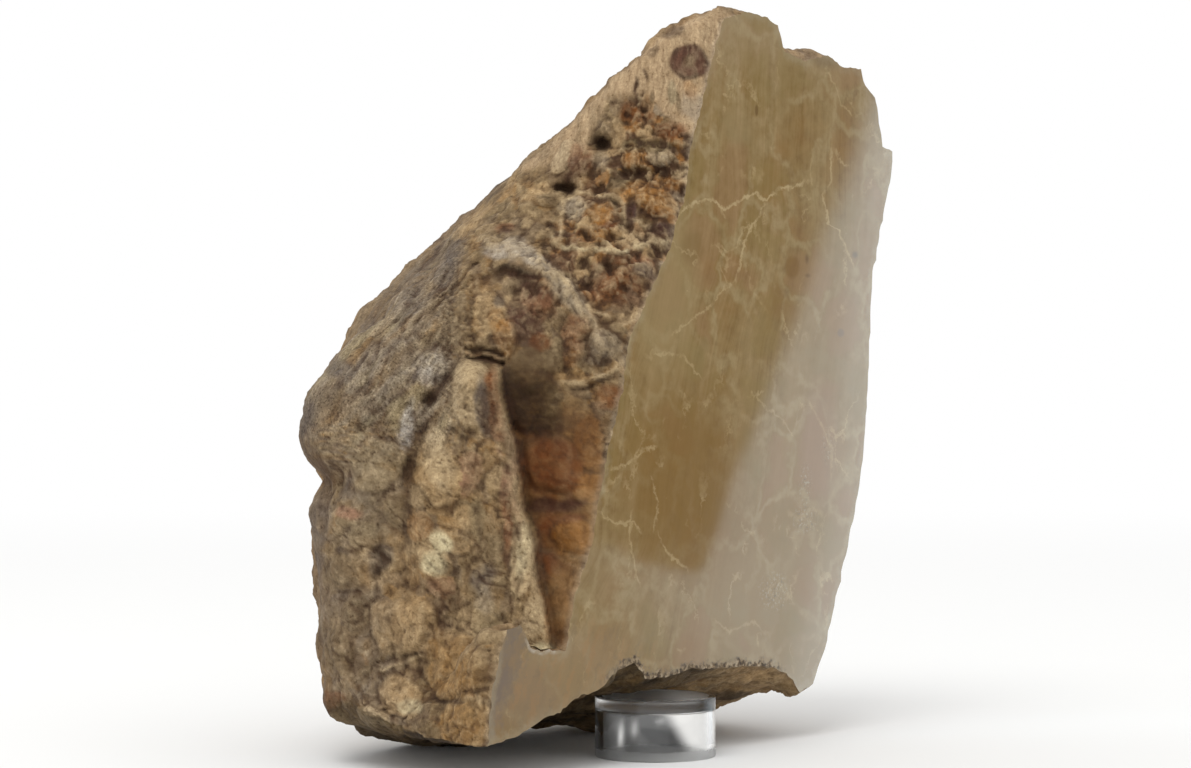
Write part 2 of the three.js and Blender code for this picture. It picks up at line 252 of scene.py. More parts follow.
# %% Cells
def cells(p, size, salt):
    """For scattered centres: the ways to the nearest and the second, and the nearest cell's number."""
    q = p / size
    low = np.floor(q)
    nearest = np.full(q.shape[:-1], 9.0)
    second = nearest.copy()
    number = np.zeros_like(nearest)
    for dx, dy, dz in np.ndindex(3, 3, 3):
        cx, cy, cz = (low[..., i] + step - 1 for i, step in enumerate((dx, dy, dz)))
        squared = sum((c + cell_number(cx, cy, cz, salt + i) - q[..., i]) ** 2
                      for i, c in enumerate((cx, cy, cz)))
        closer = squared < nearest
        second = np.where(closer, nearest, np.minimum(second, squared))
        number = np.where(closer, cell_number(cx, cy, cz, salt + 7), number)
        nearest = np.minimum(nearest, squared)
    return np.sqrt(nearest), np.sqrt(second), number


print("mean way from the rim to a centre:", cells(rim, 9, 5)[0].mean().round(2), "of a cell")

# %% Billows, domes and bells
TURNS = [np.array(Matrix.Rotation(angle, 3, axis)) for angle, axis in
         ((0.6, (1, 2, 3)), (1.3, (3, -1, 2)), (2.2, (-2, 3, 1)), (2.9, (1, 1, -3)))]


def billow(p, size, salt):
    """Rounded lumps with sharp creases: the swells without their sign, in axes turned at a slant."""
    return np.abs(swell(p @ TURNS[salt % 4], size, salt)) * 2 - 0.5


def dome(distance):
    """A round dome: one over the centre, falling as a half circle to zero at distance one."""
    return np.sqrt(np.clip(1 - distance ** 2, 0, 1))


def bell(distance, radius):
    """A soft bump: e to the power of minus two times the squared share of the radius."""
    return np.exp(-2 * (distance / radius) ** 2)


print("halfway out, a dome is", dome(0.5).round(2), "high and a bell", bell(0.5, 1).round(2))

# %% [markdown]
# ## Forms of the flank
# Seen square on, the flank has two measures: how far across it a spot is, and how high. It could be shaped
# with sculpting tools, but tables of across and height can be read and corrected. The two measures are also
# bent a little by swells, which keeps the outlines of all small forms from looking drawn.

# %% Where a spot is on the flank
FLANK_TURN = math.radians(50)
FLANK_OUT = np.array([-math.sin(FLANK_TURN), -math.cos(FLANK_TURN), 0])
on_flank = smooth(0, 0.35, normal @ FLANK_OUT)
across = bare[..., 0] * math.cos(FLANK_TURN) - bare[..., 1] * math.sin(FLANK_TURN)
height = bare[..., 2]
wobble = [0.8 * swell(bare, 6, 301 + i) + 0.35 * swell(bare, 2.1, 311 + i) for i in range(2)]
wavy_across, wavy_height = across + wobble[0], height + wobble[1]
print("share of the grid on the flank:", round(float(on_flank.mean()), 2))


# %% Distances to lines and ovals
def to_line(line, x, y):
    """The distance to a broken line: the least over its legs of the way to the nearest spot of that leg."""
    line = np.array(line, float)
    nearest = np.inf
    for (ax, ay), (bx, by) in zip(line[:-1], line[1:]):
        leg_x, leg_y = bx - ax, by - ay
        t = np.clip(((x - ax) * leg_x + (y - ay) * leg_y) / (leg_x ** 2 + leg_y ** 2), 0, 1)
        nearest = np.minimum(nearest, np.hypot(ax + leg_x * t - x, ay + leg_y * t - y))
    return nearest


def oval(x, y, middle_x, middle_y, half_width, half_height, turn):
    """The distance from an oval's middle, in shares of its half axes, after turning it by some degrees."""
    c, s = math.cos(math.radians(turn)), math.sin(math.radians(turn))
    dx, dy = x - middle_x, y - middle_y
    return np.hypot((dx * c + dy * s) / half_width, (dy * c - dx * s) / half_height)


print("from (3, 4) to a line along x:", to_line([(0, 0), (9, 0)], 3, 4),
      "and in shares of an oval:", round(float(oval(3, 4, 0, 0, 6, 8, 0)), 2))

# %% [markdown]
# ## Rib, crevice, arch and knobs
# These are the forms that show from across a room. A long rib stands up the middle of the flank. Its right
# side is a cliff that leans left as it rises, with a deep crevice beyond it, and an arch bends over a hollow
# above. They could be sculpted by hand, but sums of steps and bells keep the packed model's numbers.

# %% Measures of the main forms
RIB = dict(height=3.6, bottom=24, top=82, cliff_foot=-21.3, cliff_lean=-0.185, cliff_spread=0.6,
           left_foot=-49, left_top=-39.5, left_lean=0.39)
CREVICE = dict(depth=4.2, width=12, bottom=24, top=78)
ARCH = dict(line=[(-34.5, 107), (-23, 101), (-13.5, 89.5), (-7.5, 81)], height=2.0, half_width=3.2)
HOLLOW = dict(across=-22, height=92, radius=9, depth=2.4)
# across, height, radius, how far it stands out
KNOBS = [
    (-52, 31, 7, 2.6), (-58, 11, 5, 2.2), (-41, 24, 8, 2.6), (-46, 45, 6, 2), (-61, 52, 8, 2),
    (-13.5, 113.5, 6, 2), (-12, 130, 3, -2.4), (-18.5, 120, 3, -2.4), (-36.5, 83.5, 4, -1.6),
    (-48, 12, 6, 2), (-64, 26, 7, 1.8), (-7, 118, 4, 1.6), (-3, 133, 5, -1.2),
]
print(len(KNOBS), "knobs")


# %% Main forms of the flank
def main_relief(x, y, edge_x):
    """The rib up to its cliff, less the crevice past it, plus the arch, less the hollow, plus the knobs."""
    cliff = RIB["cliff_foot"] + (y - RIB["bottom"]) * RIB["cliff_lean"]
    past = smooth(cliff - RIB["cliff_spread"], cliff + RIB["cliff_spread"], edge_x)
    left = np.maximum(RIB["left_foot"], RIB["left_top"] + (y - RIB["top"]) * RIB["left_lean"])
    rib = (smooth(left - 3, left + 2, x) * (1 - past) * smooth(RIB["bottom"] - 4, RIB["bottom"] + 4, y)
           * (1 - smooth(RIB["top"] - 1, RIB["top"] + 2, y)))
    crevice = (past * (1 - smooth(cliff + CREVICE["width"] * 0.3, cliff + CREVICE["width"], x))
               * smooth(CREVICE["bottom"] - 2, CREVICE["bottom"] + 6, y)
               * (1 - smooth(CREVICE["top"] - 6, CREVICE["top"] + 6, y)))
    relief = RIB["height"] * rib - CREVICE["depth"] * crevice
    relief += ARCH["height"] * bell(to_line(ARCH["line"], x, y), ARCH["half_width"])
    hollow_way = np.hypot(x - HOLLOW["across"], y - HOLLOW["height"])
    relief -= HOLLOW["depth"] * bell(hollow_way, HOLLOW["radius"])
    for knob_x, knob_y, radius, rise in KNOBS:
        relief += rise * bell(np.hypot(x - knob_x, y - knob_y), radius)
    return relief, crevice


main, crevice_zone = main_relief(across, height, across + 0.5 * wobble[0])
print("main forms from", main.min().round(1), "to", main.max().round(1), "mm")

# %% [markdown]
# ## Zones of the flank
# The rind changes from place to place: smooth fibrous stone on the peak, a sponge-like cavern below it,
# strands up the left slope, rounded heads at the foot, and still, worn walls in the crevice. Zones could be
# painted on, but as formulas they fit any grid. Each is a number from zero to one, so relief and colour can
# fade from one kind to the next.

# %% Peak, cavern, strands, heads and still walls
PEAK_FOOT = [(-18, 124), (-14, 131), (-10, 139), (-2, 140.5), (2, 135), (6, 131.5), (9, 130)]
STILL_OVALS = [(-16.5, 58, 8, 21, 6), (-25.5, 80, 5.5, 9, 0)]
peak_zone = on_flank * smooth(-1.2, 1.2, wavy_height - np.interp(across, *zip(*PEAK_FOOT)))
cavern_zone = (on_flank * (1 - peak_zone) * smooth(92, 98, height)
               * smooth(-2, 3, wavy_across + 24 - 0.55 * (height - 104)))
strand_zone = (on_flank * smooth(62, 70, height) * (1 - cavern_zone) * (1 - peak_zone)
               * smooth(38, 44, -across))
heads_zone = 1 - smooth(58, 70, height) * on_flank
still_way = np.minimum(*(oval(wavy_across, wavy_height, *row) for row in STILL_OVALS))
still_zone = np.maximum(crevice_zone, 1 - smooth(0.6, 1.25, still_way + 0.25 * swell(bare, 5, 531)))
still_zone = 0.75 * still_zone * on_flank * (1 - smooth(-9.5, -7.5, across - 0.05 * (height - 60)))
print("shares of the grid:", {name: round(float(zone.mean()), 3) for name, zone in dict(
    peak=peak_zone, cavern=cavern_zone, strands=strand_zone, still=still_zone).items()})

# %% [markdown]
# ## Relief of the rind
# The large swells and lumps are the ones that the packed solid has. Finer ones go on top: small lumps with
# seams between them, strands that run up the left slope, fibres on the peak, pits in the cavern, and bedding
# on the back. Noise repeats less when its points are bent first, so most of it reads bent points.


# %% Bent points, lumps, seams and pits
def bent_by(p, *waves):
    """Points moved along each axis by a sum of swells: each wave is its height, its size and its salt."""
    return p + np.stack([sum(high * swell(bare, size, salt + axis) for high, size, salt in waves)
                         for axis in range(3)], axis=-1)


bent = bent_by(bare, (1.5, 8, 401), (0.7, 3, 411))
crinkled = bent_by(bare, (0.9, 2.6, 421))
marbled = bent_by(bare, (2.2, 6, 431), (1.0, 2.4, 436))
head_way, next_head_way, head_number = cells(bent, 9, 5)
seam = 1 - smooth(0.02, 0.16, next_head_way - head_way)
lumps = 0.75 * billow(crinkled, 7, 441) + 0.55 * billow(crinkled, 3.7, 442)
crinkle = 0.42 * billow(crinkled, 1.9, 443) + 0.26 * billow(bare, 1.1, 444)
crests = 0.6 - lumps * 0.8 - crinkle - 0.4 * billow(bent, 5.2, 447)
pit_way, _, pit_number = cells(crinkled, 3.2, 71)
random_pits = (pit_number > 0.7) * smooth(0.1, 0.9, dome(pit_way / (0.4 + 0.3 * pit_number)))
print("lumps from", lumps.min().round(2), "to", lumps.max().round(2), "mm")


# %% Strands, fibres, bedding and contours
def drawn_out(first, second, third, stretch):
    """A point for noise with its second and third measure divided by a stretch, which draws swells out."""
    return np.stack([first, second / stretch, third / stretch], axis=-1)


STRAND_TURN = math.radians(55)
STRAND_STRETCH = 6
FIBRE_STRETCH = 7
strand_point = drawn_out(
    across * math.sin(STRAND_TURN) - height * math.cos(STRAND_TURN) + 0.7 * wobble[0],
    across * math.cos(STRAND_TURN) + height * math.sin(STRAND_TURN), bare[..., 1], STRAND_STRETCH)
strands = billow(strand_point, 2.1, 464) + 0.6 * billow(strand_point, 1.1, 468)
upright_point = drawn_out(across + 0.7 * wobble[0], height, bare[..., 1], FIBRE_STRETCH)
upright = billow(upright_point, 2.3, 474) + 0.6 * billow(upright_point, 1.1, 478)
marbled = marbled * (1 - strand_zone[..., None]) + strand_point * 2.4 * strand_zone[..., None]
bedded = drawn_out(marbled[..., 0] - 0.25 * (marbled[..., 2] - 110), marbled[..., 1], marbled[..., 2],
                   FIBRE_STRETCH)
bedding = swell(bedded, 2.6, 491) + 0.6 * swell(bedded, 1.2, 492)
contour = swell(marbled, 6.5, 451) + 0.55 * swell(marbled, 2.7, 452) + 0.25 * swell(marbled, 1.3, 453)
behind = smooth(1.8, 2.4, depths)[:, None]
dark_line = bell(contour, 0.13) * (1 - 0.85 * behind)
pale_line = bell(np.abs(contour) - 0.3, 0.16) * (1 - 0.7 * behind)
print("share of the skin under dark lines:", round(float((dark_line > 0.5).mean()), 3))

# %% Fine relief, in millimetres
rough = 1 - 0.8 * peak_zone
fine = (0.55 * rough * lumps + (0.1 + 0.2 * rough) * crinkle) * (1 - cavern_zone) + cavern_zone * crests
fine *= 1 - 0.75 * still_zone
fine += 0.34 * strands * strand_zone + 0.2 * upright * peak_zone - 0.9 * random_pits * cavern_zone
fine += (0.36 * bedding - 0.35 * seam * heads_zone) * (1 - on_flank)
fine -= 0.3 * dark_line * (1 - 0.6 * peak_zone) * (1 - 0.8 * still_zone)
print("fine relief from", fine.min().round(2), "to", fine.max().round(2), "mm")

# %% [markdown]
# ## Swells, the bulge and its notch
# Broad swells and half-buried heads shape the whole block. At the left end the stone bulges out, and a notch
# runs back under the bulge, where a softer bed has weathered away. Both reach round the edge of the flank, so
# they are set in three measures and not on the flank's picture.

# %% Large swells, in millimetres along the normal
# x, y, z, radius, how far it stands out: the bulge, the notch's inner end, the heel below them, two lumps on
# the brow of the peak, and the swell and dip of the flank's back edge
OVERHANG = [
    (-52, 46, 70, 13, 2.2), (-42, 58, 28, 8, -1.2), (-47, 47, 12, 7, 2.5), (9, 16, 145, 8, 0.1),
    (14, 8, 153, 7, 0.6), (-26, 58, 92, 10, 2.6), (-9, 54, 111, 8, -3),
]
NOTCH = np.array([(-52, 42, 58.5), (-48, 52, 58), (-42, 60, 57.5), (-36, 65, 58.5)], float)
NOTCH_RADIUS = 5.2
NOTCH_DEPTH = 3.9
peak_rest = 1 - 0.7 * smooth(116, 132, height) * on_flank
push = (2.4 * swell(bare, 26, 11) + swell(bare, 9, 23) * peak_rest
        + 2.2 * (dome(head_way) - 0.6) * (1 - 0.6 * on_flank) * peak_rest)
for *middle, radius, rise in OVERHANG:
    push += rise * bell(np.linalg.norm(bare - middle, axis=-1), radius)
notch_way = np.inf
for first, leg in zip(NOTCH[:-1], np.diff(NOTCH, axis=0)):
    t = np.clip(((bare - first) @ leg) / (leg @ leg), 0, 1)
    notch_way = np.minimum(notch_way, np.linalg.norm(bare - first - t[..., None] * leg, axis=-1))
push -= NOTCH_DEPTH * (1 + 0.35 * swell(bare, 5, 481)) * bell(notch_way, NOTCH_RADIUS)
print("push from", push.min().round(1), "to", push.max().round(1), "mm")

# %% [markdown]
# ## Pillows, ridges, grooves and pits
# Pillows are the rounded heads in which the microbes grew: each is a dome on an oval, with faint rings.
# Ridges are thin crests that stand up along a line, and grooves and pits go in. Noise could scatter them, but
# each row of a table is one form of this very stone, so its place and its stain are given one by one.

# %% Pillows: across, height, half width, half height, turn in degrees, rise, stain
PILLOWS = [
    (-41.5, 22.8, 8.2, 7.4, 10, 2.0, "honey"), (-52, 29.5, 7.4, 7, -10, 1.8, "sand"),
    (-34.7, 31, 3.2, 5.4, -15, 1.0, "clay"), (-53, 15.8, 4.4, 4, -20, 1.5, "sand"),
    (-58.2, 11, 3.4, 2.8, -15, 1.4, "pale"), (-39, 11.8, 6.4, 5, 10, 1.2, "honey"),
    (-47, 9.5, 3.5, 3, 0, 0.8, "drab"), (-66, 24, 4.2, 6.5, 10, 0.9, "drab"),
    (-61, 31, 4, 5, 0, 0.7, "drab"), (-64, 40, 4.5, 4.5, 0, 0.8, "drab"),
    (-59.3, 47.5, 3.3, 3.3, 0, 1.0, "clay"), (-48, 49.5, 3.1, 3, 0, 1.0, "amber"),
    (-53, 53, 3, 4, 0, 0.6, "drab"), (-57, 61.8, 6.6, 5.4, 20, 1.5, "clay"),
    (-44.2, 38, 3.6, 3, 0, 0.7, "rose"), (-45, 43.5, 3.4, 4.5, 20, 0.9, "sand"),
    (-39.5, 49, 3.6, 5, 0, 0.7, "sand"), (-37.8, 76.5, 4.4, 8, 10, 1.3, "pale"),
    (-44.8, 61.5, 4.9, 9, 14, 1.5, "sand"), (-38.6, 60, 3, 5, -10, 0.8, "rose"),
    (-33.2, 74, 2.2, 8.5, 6, 0.5, "brick"), (-27.3, 44, 2.7, 9, -8, 0.5, "pale"),
    (-25.2, 32.5, 2.5, 5, -12, 0.7, "pale"), (-34.5, 46, 2.6, 7, 5, 0.5, "drab"),
    (-34.6, 92.2, 3.8, 5.4, -20, 1.6, "sand"), (-31.3, 88.6, 2.8, 4.4, 10, 1.2, "amber"),
    (-42, 90.5, 3.4, 4.6, -30, 1.0, "drab"), (-24, 95.8, 4.4, 3, -20, 1.2, "rose"),
    (-27.8, 91.5, 3, 3.6, 0, 0.8, "maroon"), (-17, 90, 3, 2.8, 0, 1.1, "brick"),
    (-16.9, 85.4, 2.4, 3.6, 0, 1.0, "rust"), (-21, 84.6, 3, 3.4, 0, 0.9, "clay"),
    (-10.5, 86.6, 3.6, 2.6, 0, 1.1, "ash"), (-21.5, 62.5, 6.6, 6, 0, 1.8, "rust"),
    (-13.5, 66.5, 3.2, 6, 10, 1.3, "amber"), (-24.8, 74.5, 6.2, 7, 25, 0.8, "olive"),
    (-18, 48, 5, 3.2, 10, 1.6, "amber"), (-20.5, 41, 3.8, 4.6, 0, 1.1, "rust"),
    (-21, 32.5, 2.6, 4.6, -10, 0.9, "rust"), (-14.5, 57.5, 3.4, 3.6, 0, 1.0, "amber"),
    (-15.4, 126, 3, 4, 10, 1.3, "brick"), (-19.2, 126.6, 1.9, 4.4, -32, 1.2, "pale"),
    (0, 116, 5.4, 3.4, -22, 1.7, "amber"), (-16.8, 115.8, 3, 3, 0, 1.0, "ash"),
    (-10.3, 113, 3.6, 4, 10, 1.2, "rust"), (-5, 126.2, 2.2, 2, 0, 1.1, "amber"),
    (0.9, 126.8, 2.6, 1.9, 0, 1.2, "ash"), (7.6, 146, 4.2, 3.5, 10, 0.6, "umber"),
    (-7.4, 109.4, 2, 1.6, 0, 0.9, "pale"), (-3.2, 102, 2.6, 2, 0, 0.9, "brick"),
    (-22.6, 116.4, 2.6, 2.2, 0, 0.8, "drab"), (-9, 98.5, 3.4, 3.2, 0, 0.9, "rust"),
]
print(len(PILLOWS), "pillows")

# %% Ridges: points as (across, height), half width, rise, stain
RIDGES = [
    ([(-21.5, 109), (-18.9, 106.8), (-14.9, 105.2), (-6.5, 104.7), (-2.5, 106),
      (2, 107.5)], 0.7, 1.0, "cream"),
    ([(-19.5, 108.7), (-19.6, 113), (-19.2, 117.6), (-16.9, 119), (-12.9, 118.8), (-9, 118),
      (-7, 116)], 0.7, 1.0, "pale"),
    ([(-18.5, 79), (-14, 79.6), (-10, 80.6), (-7.5, 83)], 0.8, 1.1, "pale"),
    ([(-17.7, 96.3), (-15.3, 92.7), (-12.5, 90.6), (-12, 87)], 0.8, 1.1, "ash"),
    ([(-24.5, 105), (-20.9, 101), (-17, 96), (-13.5, 93), (-10, 92)], 0.6, 0.8, "pale"),
    ([(-56.4, 20.3), (-52.5, 21.8), (-48.7, 24)], 0.4, 0.7, "pale"),
    ([(-33, 66), (-31, 61), (-28.8, 56), (-27.2, 50.5)], 0.7, 0.5, "rose"),
    ([(-35, 106.5), (-31, 107.6), (-28, 106.6), (-24.9, 103.6), (-21, 99.5)], 1.7, 0.5, "ash"),
    ([(-39.2, 84.4), (-36, 84.7), (-32, 84.1)], 0.35, 0.3, "brick"),
    # The last ridge stands up by nothing: it is a painted shadow line along the rib's cliff.
    ([(-30.6, 79), (-29.2, 71), (-27.6, 63.5), (-26, 54), (-24.3, 46), (-22.8, 36)], 0.5, 0, "shadow"),
]
print(len(RIDGES), "ridges")

# %% Grooves: points as (across, height), half width, depth
GROOVES = [
    ([(-39.6, 85.2), (-36, 85.6), (-32, 84.9)], 0.4, 1.4),
    ([(-39.6, 83.6), (-36, 83.7), (-32, 83.2)], 0.45, 2.0),
    ([(-37.4, 68.8), (-39, 67.6), (-41.5, 69.5)], 0.7, 0.8),
    ([(-32, 55), (-31.6, 49), (-31.3, 44), (-30.6, 38), (-29, 33)], 0.9, 0.5),
    ([(-36, 53), (-35.7, 48), (-34.5, 42), (-35.2, 36), (-31.5, 31)], 1.3, 0.7),
    ([(-35.2, 98.9), (-31.3, 100.2), (-27.6, 99.2), (-25, 96.8)], 1.1, 1.5),
    ([(-49, 24.3), (-46, 29.5), (-42, 31.2), (-37, 30.4)], 0.7, 0.6),
    ([(-49.5, 24), (-48.6, 19.5), (-45, 16), (-41, 16.2), (-38, 18.2), (-34, 18.3)], 0.6, 0.8),
    ([(-57.5, 22), (-54, 22.5), (-49.5, 24.5)], 0.5, 0.5),
    ([(-41, 83), (-44.5, 76.5), (-47.5, 70), (-49.8, 63), (-50.3, 54)], 1.2, 0.8),
    ([(-20.5, 120.3), (-17.5, 119.9)], 1.0, 2.6), ([(-5.7, 128.9), (-1, 129.3), (2.5, 128.6)], 1.1, 0.9),
    ([(-7, 123.2), (-3.5, 122.9)], 1.0, 1.5), ([(-26, 53.5), (-20, 54), (-16, 51.5)], 2.2, 1.0),
    ([(-26, 57.5), (-20, 56.8), (-14.5, 58.5)], 1.0, 0.6),
    ([(-17, 77.6), (-13, 78.4), (-9, 80)], 0.6, 0.7),
    ([(-5.4, 116.5), (-5.2, 113), (-4.6, 110)], 1.2, 0.8),
    ([(-44.5, 95.5), (-39, 99.4), (-36.8, 102.5)], 0.4, 0.9),
    ([(-46, 93.5), (-41.5, 96.6), (-37.5, 98.6)], 0.35, 0.7),
    ([(-52, 90), (-47, 95), (-43.5, 101)], 0.4, 0.7), ([(-61, 70.5), (-57, 69.8), (-54, 71)], 0.8, 0.5),
    ([(-57, 45), (-56, 42), (-57.5, 39.5)], 1.1, 1.2),
    ([(-47.4, 46.8), (-44.5, 45.4), (-42.5, 42)], 0.3, 0.6),
    ([(-29, 71), (-27.2, 63.5), (-25.7, 53.5)], 0.6, 1.0),
]
print(len(GROOVES), "grooves")

# %% Pits: across, height, radius, depth
PITS = [
    (-11, 129.6, 1.6, 3.6), (-46.4, 75.1, 1.7, 2.4), (-45.4, 78.8, 0.7, 1.0), (-0.3, 109.6, 1.7, 2.0),
    (-15, 109, 1.5, 1.6), (-15.5, 102.3, 1.5, 2.2), (-10, 101.5, 1.6, 2.0), (-6.5, 97.5, 1.4, 1.6),
    (-21.8, 110.9, 0.8, 1.3), (-31, 110.3, 1.5, 0.8), (-2, 98, 1.3, 1.5), (-23.3, 107.2, 1.2, 1.2),
    (-29, 97, 1.3, 1.5), (-60, 69, 1.0, 0.9), (-35, 77, 1.0, 0.6), (-6, 135.6, 1.4, 1.6),
    (-2.2, 136.8, 1.1, 1.4), (-6.6, 133.4, 1.2, 1.4), (-10, 134.5, 1.2, 1.0), (-10.5, 84, 1.6, 1.4),
    (-14, 98.6, 1.0, 1.2), (-2.4, 134.4, 0.8, 1.2), (-4, 142, 0.5, 0.6), (-27, 116, 0.8, 0.7),
]
print(len(PITS), "pits")

# %% The flank's relief from its tables
PILLOW_RINGS = 3
ragged = 0.16 * swell(crinkled, 4.6, 471) + 0.1 * swell(crinkled, 2.1, 472)
pillow_way = np.stack([oval(wavy_across, wavy_height, *row[:5]) + ragged for row in PILLOWS])
pillow_rise = (np.array([[[row[5]]] for row in PILLOWS]) * dome(pillow_way) ** 1.3
               - 0.08 * (pillow_way < 1) * np.cos(2 * np.pi * PILLOW_RINGS * pillow_way))
relief = main + pillow_rise.max(axis=0)
for line, half_width, rise, _ in RIDGES:
    relief += rise * bell(to_line(line, wavy_across, wavy_height), half_width * 1.4)
for line, half_width, depth in GROOVES:
    relief -= depth * bell(to_line(line, wavy_across, wavy_height), half_width * 1.3)
for x, y, radius, depth in PITS:
    relief -= depth * bell(np.hypot(wavy_across - x, wavy_height - y), radius * 1.2)
print("relief of the flank from", relief.min().round(1), "to", relief.max().round(1), "mm")

# %% [markdown]
# ## The skin, where it rests, and its box
# All relief fades out at the rim, so that the sawn outline stays true: coarse forms over five millimetres
# and fine ones over less than two. The rim itself is slightly ragged, as a sawn edge is. What would dip into
# the table or the riser is lifted onto it, and at the end every point is kept inside the packed box.

# %% Carry the relief, and fray the rim
COARSE_FADE = 5
FINE_FADE = 1.6
FRAY_FADE = 4
ROUNDS = 16
skin = bare + smooth(0, COARSE_FADE, from_rim)[..., None] * (
    push[..., None] * normal + (on_flank * relief)[..., None] * FLANK_OUT)
skin = skin + (smooth(0, FINE_FADE, from_rim) * fine)[..., None] * normal
way = on_outline(places + PROBE) - on_outline(places - PROBE)
outward = np.stack([-way[:, 2], 0 * way[:, 0], way[:, 0]], axis=-1)
outward /= np.linalg.norm(outward, axis=-1, keepdims=True)
for _ in range(ROUNDS):
    outward = 0.5 * outward + 0.25 * (np.roll(outward, 1, axis=0) + np.roll(outward, -1, axis=0))
fray = 0.45 + 0.35 * swell(rim, 2.6, 91) + 0.3 * swell(rim, 1.1, 92) + 0.3 * swell(rim, 6, 93)
skin = skin - ((1 - smooth(0, FRAY_FADE, from_rim)) * fray)[..., None] * outward
print("the rim is frayed by up to", fray.max().round(2), "mm")

# %% Settle it and keep it in the box
PAD_GAP = 0.3
PAD_EDGE = 5
PAD_END = 19


def settled(p):
    """Lift a point to the resting height: the riser's top near it, easing to the table away from it."""
    from_riser = np.hypot(p[..., 0] - RISER_CENTRE[0], p[..., 1] - RISER_CENTRE[1])
    near_riser = 1 - smooth(RISER_RADIUS + PAD_EDGE, RISER_RADIUS + PAD_END, from_riser)
    lowest = (RISER_HEIGHT + PAD_GAP) * near_riser
    lifted = np.concatenate([p[..., :2], np.maximum(p[..., 2], lowest)[..., None]], axis=-1)
    return np.clip(lifted, BOX_LOW, BOX_HIGH)


skin = settled(skin)
back_point = settled(bare_point(np.array([0.0]), np.array([4.0])))
print("stone from", skin.reshape(-1, 3).min(0).round(1), "to", skin.reshape(-1, 3).max(0).round(1))

# %% [markdown]
# ## Stains of the rind
# The rind is tan where it is fresh, ashy where it is weathered, rusty where iron has gathered in hollows, and
# dark in its seams. A plain colour would look like clay, and a picture would not follow the relief. So each
# point's colour is worked out from the same zones and tables as the relief, and kept as an attribute. Stains
# are laid one over another, as washes of paint are, from the broad ones to the fine. Painted shade is laid in
# the same way, in the hollows, on the underside, in the crevice and in a few dark spots, so the attribute
# holds both.


# %% Named stains
def linear(*rgb):
    """Screen colours from 0 to 255 as the light they stand for: the share to the power 2.2."""
    return tuple((value / 255) ** 2.2 for value in rgb)


STAINS = {name: np.array(linear(*rgb)) for name, rgb in dict(
    tan=(136, 108, 74), sand=(172, 144, 106), pale=(186, 164, 130), cream=(214, 200, 164),
    clay=(146, 128, 98), drab=(108, 89, 64), honey=(150, 114, 68), ash=(156, 142, 122),
    slate=(98, 86, 76), amber=(146, 100, 50), rust=(112, 66, 30), brick=(124, 80, 54),
    rose=(146, 112, 88), umber=(72, 50, 33), olive=(74, 60, 34), frost=(170, 160, 148),
    ochre=(158, 112, 58), plum=(78, 60, 58), maroon=(78, 50, 40), shadow=(42, 30, 20)).items()}
print(len(STAINS), "stains")


# %% How stains are laid
def mix(under, over, share):
    """Under times one minus the share, plus over times the share."""
    share = np.clip(share, 0, 1)[..., None]
    return under * (1 - share) + over * share


def dyed(stain, *layers):
    """Mix one layer after another over a colour: each is a stain's name, or a colour, and its share."""
    for dye, share in layers:
        stain = mix(stain, STAINS[dye] if isinstance(dye, str) else dye, share)
    return stain


def filtered(stain, share, kept_share):
    """Each channel times one minus the share of what a filter holds back of it."""
    return stain * (1 - share[..., None] * (1 - np.array(kept_share)))


def shown(stain, zone):
    """The mean of a stain over a zone as screen colours: the share of light to the power 1 / 2.2."""
    mean = (stain * zone[..., None]).sum(axis=(0, 1)) / zone.sum()
    return (mean ** (1 / 2.2) * 255).round()


def blurred(field, rounds):
    """Each round averages a value with its neighbours along both directions of the grid."""
    for _ in range(rounds):
        field = 0.5 * field + 0.25 * (np.roll(field, 1, axis=1) + np.roll(field, -1, axis=1))
        padded = np.pad(field, ((1, 1), (0, 0)), mode="edge")
        field = 0.5 * field + 0.25 * (padded[:-2] + padded[2:])
    return field


print("half sand and half umber, as light:", mix(STAINS["sand"], STAINS["umber"], 0.5).round(2))

# %% Hollows and mottles
WIDE_ROUNDS = 20
NEAR_ROUNDS = 5
off_flank = 1 - on_flank
level = push + on_flank * relief + fine
small = swell(bare, 9, 23) + 2.2 * (dome(head_way) - 0.6) + fine
wide_hollow = on_flank * (blurred(level, WIDE_ROUNDS) - level) + off_flank * (0.1 - 0.45 * small)
near_hollow = on_flank * (blurred(level, NEAR_ROUNDS) - level) - off_flank * (0.3 - 0.2 * behind) * fine
broad = swell(bare, 14, 201) + 0.6 * swell(bare, 5, 202)
mottle = swell(marbled, 4.4, 203) + 0.7 * swell(marbled, 2.0, 204)
fleck = (swell(crinkled, 1.5, 205) + 0.6 * swell(crinkled, 0.8, 206)) * (1 - 0.85 * behind)
back_tint = swell(bare, 30, 221) + 0.5 * swell(bare, 12, 222)
*_, patch_number = cells(marbled, 3.6, 81)
gray_share = np.clip(strand_zone + smooth(-46, -60, across) * on_flank, 0, 1)
print("deepest hollow:", wide_hollow.max().round(1), "mm below its surroundings")

# %% [markdown]
# ## Broad stains
# The first layers are the body of the rind: tan going over to drab, with patches of other stains in cells a
# few millimetres wide. The back adds weathered gray and amber tints and the lines of its bedding.


# %% Body, patches and back
def patched(stain, where, rows):
    """Stain whole cells: those whose number lies above the first and up to the second number of a row."""
    return dyed(stain, *((name, share * (patch_number > low) * (patch_number <= high) * where)
                         for name, low, high, share in rows))


